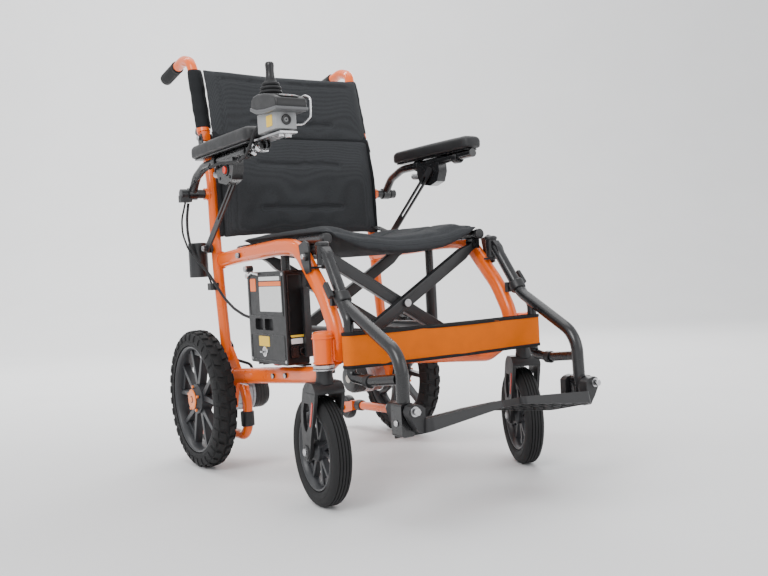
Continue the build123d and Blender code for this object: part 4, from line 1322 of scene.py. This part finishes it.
g.hexn((-250, -284, 668), (-250, -284, 661.5), 5.6)
g.hexn((-264, -284, 668), (-264, -284, 662.5), 4.4)
for y, z in ((-196, 655), (-178, 650)):
    g.lathe((-268, y, z), (-1, 0, 0), [(0, 0), (0, 5.2), (6, 4.6), (7, 0)], 24)
    for s in (-1, 1):
        p = slot_poly((y + s * 4, z + s * 1.5), (y + s * 12, z + s * 6), 3.4, 6)
        g.prism(p, -274.5, -271.8, "x")
mk(g, "controller_clips", "chrome", "armrest_right", bevel=0.6)
g = G()
for y in (-196, -178):
    g.lathe((-256, y, 661.7), (0, 1, 0), [(-5, 9.7), (-5, 12), (5, 12), (5, 9.7)], 36, closed=True)
mk(g, "controller_clamps", "plastic_smooth", "armrest_right", bevel=0.6)

g = G()
prof = [(0, 5.0), (0, 21.5), (1.6, 22.0), (3.0, 20.0)]
for k in range(3):
    t, r = 4.0 + k * 7.4, (21.0, 19.6, 16.6)[k]
    prof += [(t, r - 2.6), (t + 1.6, r), (t + 3.8, r + 0.3), (t + 5.8, r - 1.0), (t + 7.0, r - 3.6)]
prof += [(27.0, 12.0), (30.5, 9.6), (33.0, 9.0), (33.4, 4.6)]
g.lathe((-256, -236, 742.5), (0, 0, 1), prof, 56, closed=True)
bellows = mk(g, "joystick_bellows", "rubber", "joy_gimbal", angle=70)
bellows.parent = None
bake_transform(bellows, "joy_gimbal", "joystick", start=W((-256, -236, 745)), end=W((-256, -236, 768)))
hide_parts("joystick_gaiter")
g = G()
g.lathe((-256, -236, 0), (0, 0, 1), [(727.2, 0), (727.2, 8.6), (730.6, 8.6), (731, 3.4), (771, 3.4), (771.5, 8.2), (775, 8.9), (781, 8.0), (790, 7.6), (799, 8.4), (803, 8.2), (805.4, 6.4), (806, 0)], 48)
mk(g, "joystick_knob", "plastic_smooth", "joystick", replaces=["joystick_stick"], slot="gloss_black", angle=50)


# ------------------------------------------------------------------ battery box
def battery():
    g = G()
    face = rrect(-226, -64, 247.5, 425, 6, 5)
    pockets = [rrect(-172, -134, 312, 334, 5, 4), rrect(-128, -92, 312, 334, 5, 4), circle(-130, 270, 7.3, 28)]
    g.prism(face, -247, -238.3, "x", holes=pockets)
    g.prism(face, -238.3, -201, "x")
    return g


mk(battery(), "battery_case", "plastic", "battery", bevel=1.4, seg=3, replaces=["battery_box"], slot="black_plastic")
g = G()
for y0, y1, z0, z1 in ((-218, -72, 252.5, 304), (-218, -72, 339, 419)):
    g.prism(rrect(y0, y1, z0, z1, 4), -247.9, -246.9, "x", holes=[rrect(y0 + 1.8, y1 - 1.8, z0 + 1.8, z1 - 1.8, 3)])
g.prism(rrect(-241, -207, 298, 418, 4), -226.8, -225.8, "y", holes=[rrect(-239, -209, 300, 416, 3)])
mk(g, "battery_frames", "plastic_smooth", "battery", bevel=0.3)
g = G()
g.prism(rrect(-212, -118, 348, 396, 2.0), -247.5, -246.9, "x")
g.prism(rrect(-208, -118, 407.5, 415, 1.5), -247.5, -246.9, "x")
mk(g, "battery_label", "white", "battery", bevel=0.12)
g = G()
g.prism(rrect(-212, -118, 397.2, 405.4, 1.0), -247.5, -246.9, "x")
g.prism(rrect(-103, -78, 387, 412, 3.0), -247.6, -246.9, "x")
mk(g, "battery_label_orange", "orange_plastic", "battery", bevel=0.12)
g = G()
g.prism(rrect(-239, -211, 299.5, 304.0, 1.0), -226.6, -225.9, "y")
mk(g, "battery_strip", "yellow", "battery", bevel=0.1)
g = G()
g.prism(rrect(-238, -214, 287.5, 297.5, 1.0), -226.6, -225.9, "y")
mk(g, "battery_tag", "white", "battery", bevel=0.1)
g = G()
g.prism(rrect(-152, -106, 280.5, 300, 2.0), -247.6, -246.9, "x")
mk(g, "battery_label_small", "yellow", "battery", bevel=0.12)
g = G()
g.lathe((-246.9, -130, 270), (-1, 0, 0), [(0, 7.4), (0, 10.4), (1.6, 10.0), (2.2, 8.8), (2.2, 7.4)], 40, closed=True)
mk(g, "battery_lock_ring", "chrome", "battery")
g = G()
g.prism(rrect(-240, -224, 262, 284, 2.2), -228.4, -225.8, "y", holes=[rrect(-237.6, -226.4, 264.4, 281.6, 1.4)])
g.prism([(-237.4, 264.6), (-237.4, 281.4), (-226.6, 281.4), (-226.6, 264.6)], -229.6, -225.9, "y")
g.lathe((-214, -226, 273), (0, -1, 0), [(0, 3.6), (0, 8.0), (2.0, 8.0), (2.6, 7.0), (2.6, 5.6), (1.0, 5.2), (1.0, 3.6)], 36, closed=True)
mk(g, "battery_sockets", "plastic_smooth", "battery", bevel=0.4)
g = G()
g.pipe(fillet_path([(-249.5, -72, 418), (-250, -92, 424), (-250, -124, 420)], [16], 8), 2.4, 16)
g.rod((-246.9, -70, 418), (-252.5, -70, 418), 5.2, 24)
mk(g, "battery_catch", "chrome", "battery")
g = G()
for y, z in ((-218.5, 418.5), (-71.5, 418.5), (-218.5, 254.5), (-71.5, 254.5)):
    g.lathe((-246.9, y, z), (-1, 0, 0), [(0, 0), (0, 3.2), (0.9, 2.9), (1.2, 1.6), (0.7, 0)], 20)
mk(g, "battery_screws", "zinc", "battery")
g = G()
g.box(-215, -199, -116, -98, 237.4, 246.9)
mk(g, "battery_foot_clip", "red", "frame_right", bevel=1.2)


# ------------------------------------------------------------------ frame details: weld beads, bolts, belts
def bead(path, r, pitch=3.4, closed=True):
    g = G()
    n = len(path)
    P = [np.array(p, float) for p in path]
    L = [0]
    for a, b in zip(P, P[1:]):
        L.append(L[-1] + float(np.linalg.norm(b - a)))
    rr = [r * (0.86 + 0.16 * abs(math.sin(math.pi * l / pitch))) for l in L]
    g.pipe(P, rr, 10, closed=closed)
    return g


def oval(cx, cy, cz, a, b, nrm, n=90):
    """Oval in the plane with normal nrm; a along X, b across."""
    nrm = np.array(nrm, float) / np.linalg.norm(nrm)
    u = np.array([1.0, 0, 0])
    w = np.cross(nrm, u)
    return [np.array([cx, cy, cz]) + u * a * math.cos(2 * math.pi * k / n) + w * b * math.sin(2 * math.pi * k / n) for k in range(n)]


def welds():
    g = G()
    g.join(bead(oval(-204, 161, 456, 12.6, 17.4, (0, 1, 0.03)), 2.3))
    g.join(bead(oval(-204, 160, 456, 13.6, 18.4, (0, 1, 0.03)), 1.5))
    g.join(bead(oval(-203, 118, 199, 12.8, 17.4, (0, 1, 0.1)), 2.2))
    g.join(bead(oval(-203, -327, 285, 12.9, 17.6, (0, 0.15, 1)), 2.4))
    for y in (-346.5, -313.5):
        line = [(-216.5, y, z) for z in np.linspace(262, 300, 40)]
        g.join(bead(line, 2.3, closed=False))
    ln = [(-x, -345 + (208 + 0) * 0, 300.8) for x in np.linspace(208, 216, 12)]
    g.join(bead([(-209, 184 + 13.4 * math.cos(a), 606 + 13.4 * math.sin(a)) for a in np.linspace(0, 2 * math.pi, 60, endpoint=False)], 1.6).move(lambda p: (p[0] - 10.8, p[1], p[2])))
    return g


pair(welds, "weld_beads", "orange", "frame", slot="frame_paint")


def sockets():
    """Orange socket collar at the foot of each folding post."""
    g = G()
    y0, z0 = 212.0, 749.0
    d = np.array((0, 0.27, 1.0))
    g.lathe((-209, y0, z0), d, [(-1, 12.3), (-1, 14.6), (0.5, 15.4), (22, 15.4), (23.5, 14.6), (23.5, 12.3)], 44, closed=True)
    return g


pair(sockets, "post_collar", "orange", "back", slot="frame_paint", bevel=0.3)


def frame_bolts():
    g = G()
    for y, z in ((-94, 216), (-149, 221)):
        g.lathe((-218.2, y, z), (-1, 0, 0), [(0, 0), (0, 5.4), (1.2, 4.8), (1.8, 3.0), (1.2, 0)], 24)
    g.hexn((-218.5, 40, 462), (-222.5, 40, 462), 6.4)
    g.hexn((-228.5, -20, 432), (-233, -20, 432), 6.6)
    g.hexn((-246.4, 160, 483), (-250.2, 160, 483), 6.4)
    g.rod((-224.6, 208, 735), (-227.6, 208, 735), 6.0, 28)
    g.rod((-193.4, 208, 735), (-190.4, 208, 735), 6.0, 28)
    return g


pair(frame_bolts, "frame_bolts", "zinc", "frame", bevel=0.3)


def stem_dome():
    g = G()
    g.lathe((-232, -335, 0), (0, 0, 1), [(303.5, 17.3), (304.5, 18.3), (308, 18.6), (311.5, 17.6), (314.2, 14.2), (315.4, 8.0), (315.6, 0), (303.5, 0)], 48)
    g.join(bead([(-232 + 18.2 * math.cos(t), -335 + 18.2 * math.sin(t), 303.2) for t in np.linspace(0, 2 * math.pi, 70, endpoint=False)], 1.7))
    g.join(bead([(-232 + 17.8 * math.cos(t), -335 + 17.8 * math.sin(t), 259.2) for t in np.linspace(0, 2 * math.pi, 70, endpoint=False)], 1.5))
    return g


pair(stem_dome, "stem_dome", "orange", "frame", slot="frame_paint")


def stem_nut():
    g = G()
    g.hexn((-232, -335, 249.4), (-232, -335, 256.4), 19.0, 1.2)
    g.lathe((-232, -335, 246.4), (0, 0, 1), [(0, 14.8), (0, 19.6), (2.4, 19.6), (2.4, 14.8)], 40, closed=True)
    return g


pair(stem_nut, "stem_nut", "zinc", "caster", bevel=0.3)


def belt(path, w, t=1.3):
    g = G()
    P = resample(fillet_path(path, 14, 8), 4)
    g.pipe(P, w / 2, 20, flat=t / (w / 2), up=(1, 0, 0))
    return g


g = belt([(197, 171, 520), (196, 140, 521), (195, 112, 512), (194, 84, 505), (193.5, 40, 504)], 26, 2.2)
mk(g, "seat_belt_left", "webbing", "frame_left")
def harness(dx, r, lift):
    p = [(-262 - dx, 190, 590 + lift), (-264 - dx, 214 + lift, 552), (-264 - dx, 214 + lift, 520), (-262 - dx, 196, 486), (-250 - dx * 0.4, 184, 456), (-236, 170, 428), (-229, 171, 404), (-226, 171, 398)]
    g = G()
    g.pipe(resample(fillet_path(p, [40, 40, 40, 30, 30], 10), 4), r, 14)
    return g


mk(harness(7, 2.2, 5), "harness_second", "rubber", "frame_right", slot="grip_rubber")
g = G()
g.prism(rrect(-234, -214, 158, 186, 6), 390, 406, "z")
g.prism(rrect(-284, -258, 176, 202, 6), 588, 604, "z")
mk(g, "harness_clips", "plastic", "frame_right", bevel=1.2)
g = G()
for y, z, x in ((-170 + 52, 642.0, -273.0), (30, 646, -274), (126, 628, -270)):
    g.lathe((x, y, z), (0, 1, 0), [(-2, 3.2), (-2, 4.6), (2, 4.6), (2, 3.2)], 20, closed=True)
    g.box(x - 1.4, x + 1.4, y - 1.6, y + 1.6, z + 4.2, z + 8.5)
mk(g, "cable_ties", "plastic_smooth", "armrest_right", bevel=0.3)
g = G()
g.lathe((-223, -66, 328), (0, 1, 0), [(0, 0), (0, 7.5), (3, 8.2), (12, 8.2), (14, 6.2), (24, 4.6), (24, 0)], 28)
mk(g, "lead_plug", "rubber", "frame_right", angle=50)


def rail_caps():
    g = G()
    g.lathe((-180, -276, 479.5), (0, -1, 0), [(-6, 9.6), (-6, 10.6), (3, 10.6), (5, 8.4), (5.6, 0), (-6, 0)], 32)
    return g


pair(rail_caps, "rail_caps", "plastic", "seat_rail", bevel=0.2)

# ------------------------------------------------------------------ CAD nodes that show as they are
CAD_LOOK = {
    "side_frame": "orange", "back_post": "orange", "anti_tip_tube": "orange",
    "frame_fittings": "satin_black", "seat_rail": "black_paint", "armrest_frame": "black_paint", "armrest_strut": "satin_black",
    "hanger": "black_paint", "motor": "motor", "drive_tyre": "tyre", "drive_rim": "rim", "caster_fork": "plastic",
    "caster_rim": "rim", "caster_tyre": "tyre", "crossing_bars": "satin_black", "crossing_bolts": "zinc",
    "anti_tip_wheel": "plastic", "push_grip": "rubber", "back_release_lever": "plastic", "armrest_pivot_bolt": "satin_black",
    "armrest_pad": "pad", "armrest_button": "red", "controller_housing": "plastic", "controller_bracket": "zinc",
    "joystick_gimbal": "plastic", "joystick_stick": "plastic_smooth", "joystick_gaiter": "rubber", "controller_lead": "rubber",
    "frame_lead": "rubber", "battery_box": "plastic", "battery_key": "zinc", "footplate": "plastic",
    "hanger_release_lever": "plastic", "seat_cushion": "fabric", "back_panel": "fabric", "calf_strap": "strap",
}
BEVEL = {"side_frame": 1.2, "frame_fittings": 0.7, "crossing_bars": 1.6, "seat_rail": 0.8, "armrest_frame": 0.9, "armrest_strut": 0.7,
         "hanger": 1.0, "anti_tip_tube": 0.8, "back_post": 0.8, "crossing_bolts": 0.6, "armrest_pivot_bolt": 0.9, "controller_bracket": 0.6,
         "back_release_lever": 2.0, "hanger_release_lever": 2.0, "caster_fork": 1.5, "armrest_button": 0.8, "battery_key": 0.5, "motor": 1.2}
for node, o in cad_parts.items():
    if o.hide_render:
        continue
    key = max((k for k in CAD_LOOK if node.startswith(k)), key=len)
    o.data.materials.clear()
    o.data.materials.append(M[CAD_LOOK[key]])
    for name in [a.name for a in o.data.attributes if a.name == "custom_normal"]:
        o.data.attributes.remove(o.data.attributes[name])
    for p in o.data.polygons:
        p.use_smooth = True
    w = o.modifiers.new("weld", "WELD")
    w.merge_threshold = 2e-6
    if key in BEVEL:
        b = o.modifiers.new("bevel", "BEVEL")
        b.width = BEVEL[key] / 1000
        b.segments = 2
        b.limit_method = "ANGLE"
        b.angle_limit = math.radians(40)
        wn = o.modifiers.new("wn", "WEIGHTED_NORMAL")
        wn.keep_sharp = False
    else:
        o.data.set_sharp_from_angle(angle=math.radians(35))

# ------------------------------------------------------------------ camera, floor and light
A, E, R = math.radians(-32.88031), math.radians(1.41623), math.radians(-3.05635)
D = Vector((-math.sin(A) * math.cos(E), math.cos(A) * math.cos(E), -math.sin(E)))
r0 = Vector((math.cos(A), math.sin(A), 0))
u0 = r0.cross(D)
RT = r0 * math.cos(R) + u0 * math.sin(R)
UP = RT.cross(D)
cam = bpy.data.objects.new("camera", bpy.data.cameras.new("camera"))
bpy.context.scene.collection.objects.link(cam)
cam.data.sensor_width = 36.0
cam.data.lens = 887.62 / 768 * 36
cam.data.clip_start, cam.data.clip_end = 0.05, 60
mw = Matrix.Identity(4)
for k in range(3):
    mw[k][0], mw[k][1], mw[k][2] = RT[k], UP[k], -D[k]
mw.translation = Vector(W((-982.6, -1704.0, 423.5)))
cam.matrix_world = mw
bpy.context.scene.camera = cam

floor_mat = material("studio_floor", (0.80, 0.80, 0.80), 0.75, vary=0.015, scale=2.5, bump=0.02, bump_scale=60, spec=0.2)
back = np.array([D.x, D.y])
back = back / np.linalg.norm(back)
prof = [(-4.0, 0.0)] + [(3.2 + 2.6 * math.sin(a), 2.6 - 2.6 * math.cos(a)) for a in np.linspace(0, math.pi / 2, 16)] + [(5.8, 7.0)]
side_v = np.array([-back[1], back[0]])
vs, fs = [], []
for k, (d, z) in enumerate(prof):
    for s in (-7, 7):
        vs.append((back[0] * d + side_v[0] * s, back[1] * d + side_v[1] * s, z))
    if k:
        n = 2 * k
        fs.append((n - 2, n - 1, n + 1, n))
me = bpy.data.meshes.new("studio")
me.from_pydata(vs, [], fs)
for p in me.polygons:
    p.use_smooth = True
studio = bpy.data.objects.new("studio", me)
bpy.context.scene.collection.objects.link(studio)
me.materials.append(floor_mat)

world = bpy.data.worlds.new("world")
bpy.context.scene.world = world
world.use_nodes = True
bg = world.node_tree.nodes["Background"]
bg.inputs["Color"].default_value = (0.97, 0.98, 1.0, 1)
bg.inputs["Strength"].default_value = 1.1


def area(name, loc, target, size, power, color=(1, 1, 1)):
    l = bpy.data.lights.new(name, "AREA")
    l.shape = "RECTANGLE"
    l.size, l.size_y = size
    l.energy = power
    l.color = color
    o = bpy.data.objects.new(name, l)
    bpy.context.scene.collection.objects.link(o)
    o.location = loc
    o.rotation_mode = "QUATERNION"
    o.rotation_quaternion = (Vector(target) - Vector(loc)).to_track_quat("-Z", "Y")
    return o


area("key", (-2.6, -1.6, 2.6), (0, 0, 0.5), (1.6, 1.6), 62)
area("fill", (1.6, -2.8, 1.5), (0, 0, 0.45), (2.2, 1.6), 18)
area("top", (0.3, 0.4, 3.0), (0, 0, 0.4), (2.4, 2.4), 30)
area("wall_wash", (-1.2, 2.0, 3.2), (2.2, 5.0, 1.8), (3.0, 1.0), 240)
area("rim", (2.2, 1.9, 1.9), (0, 0, 0.6), (1.4, 1.4), 30)
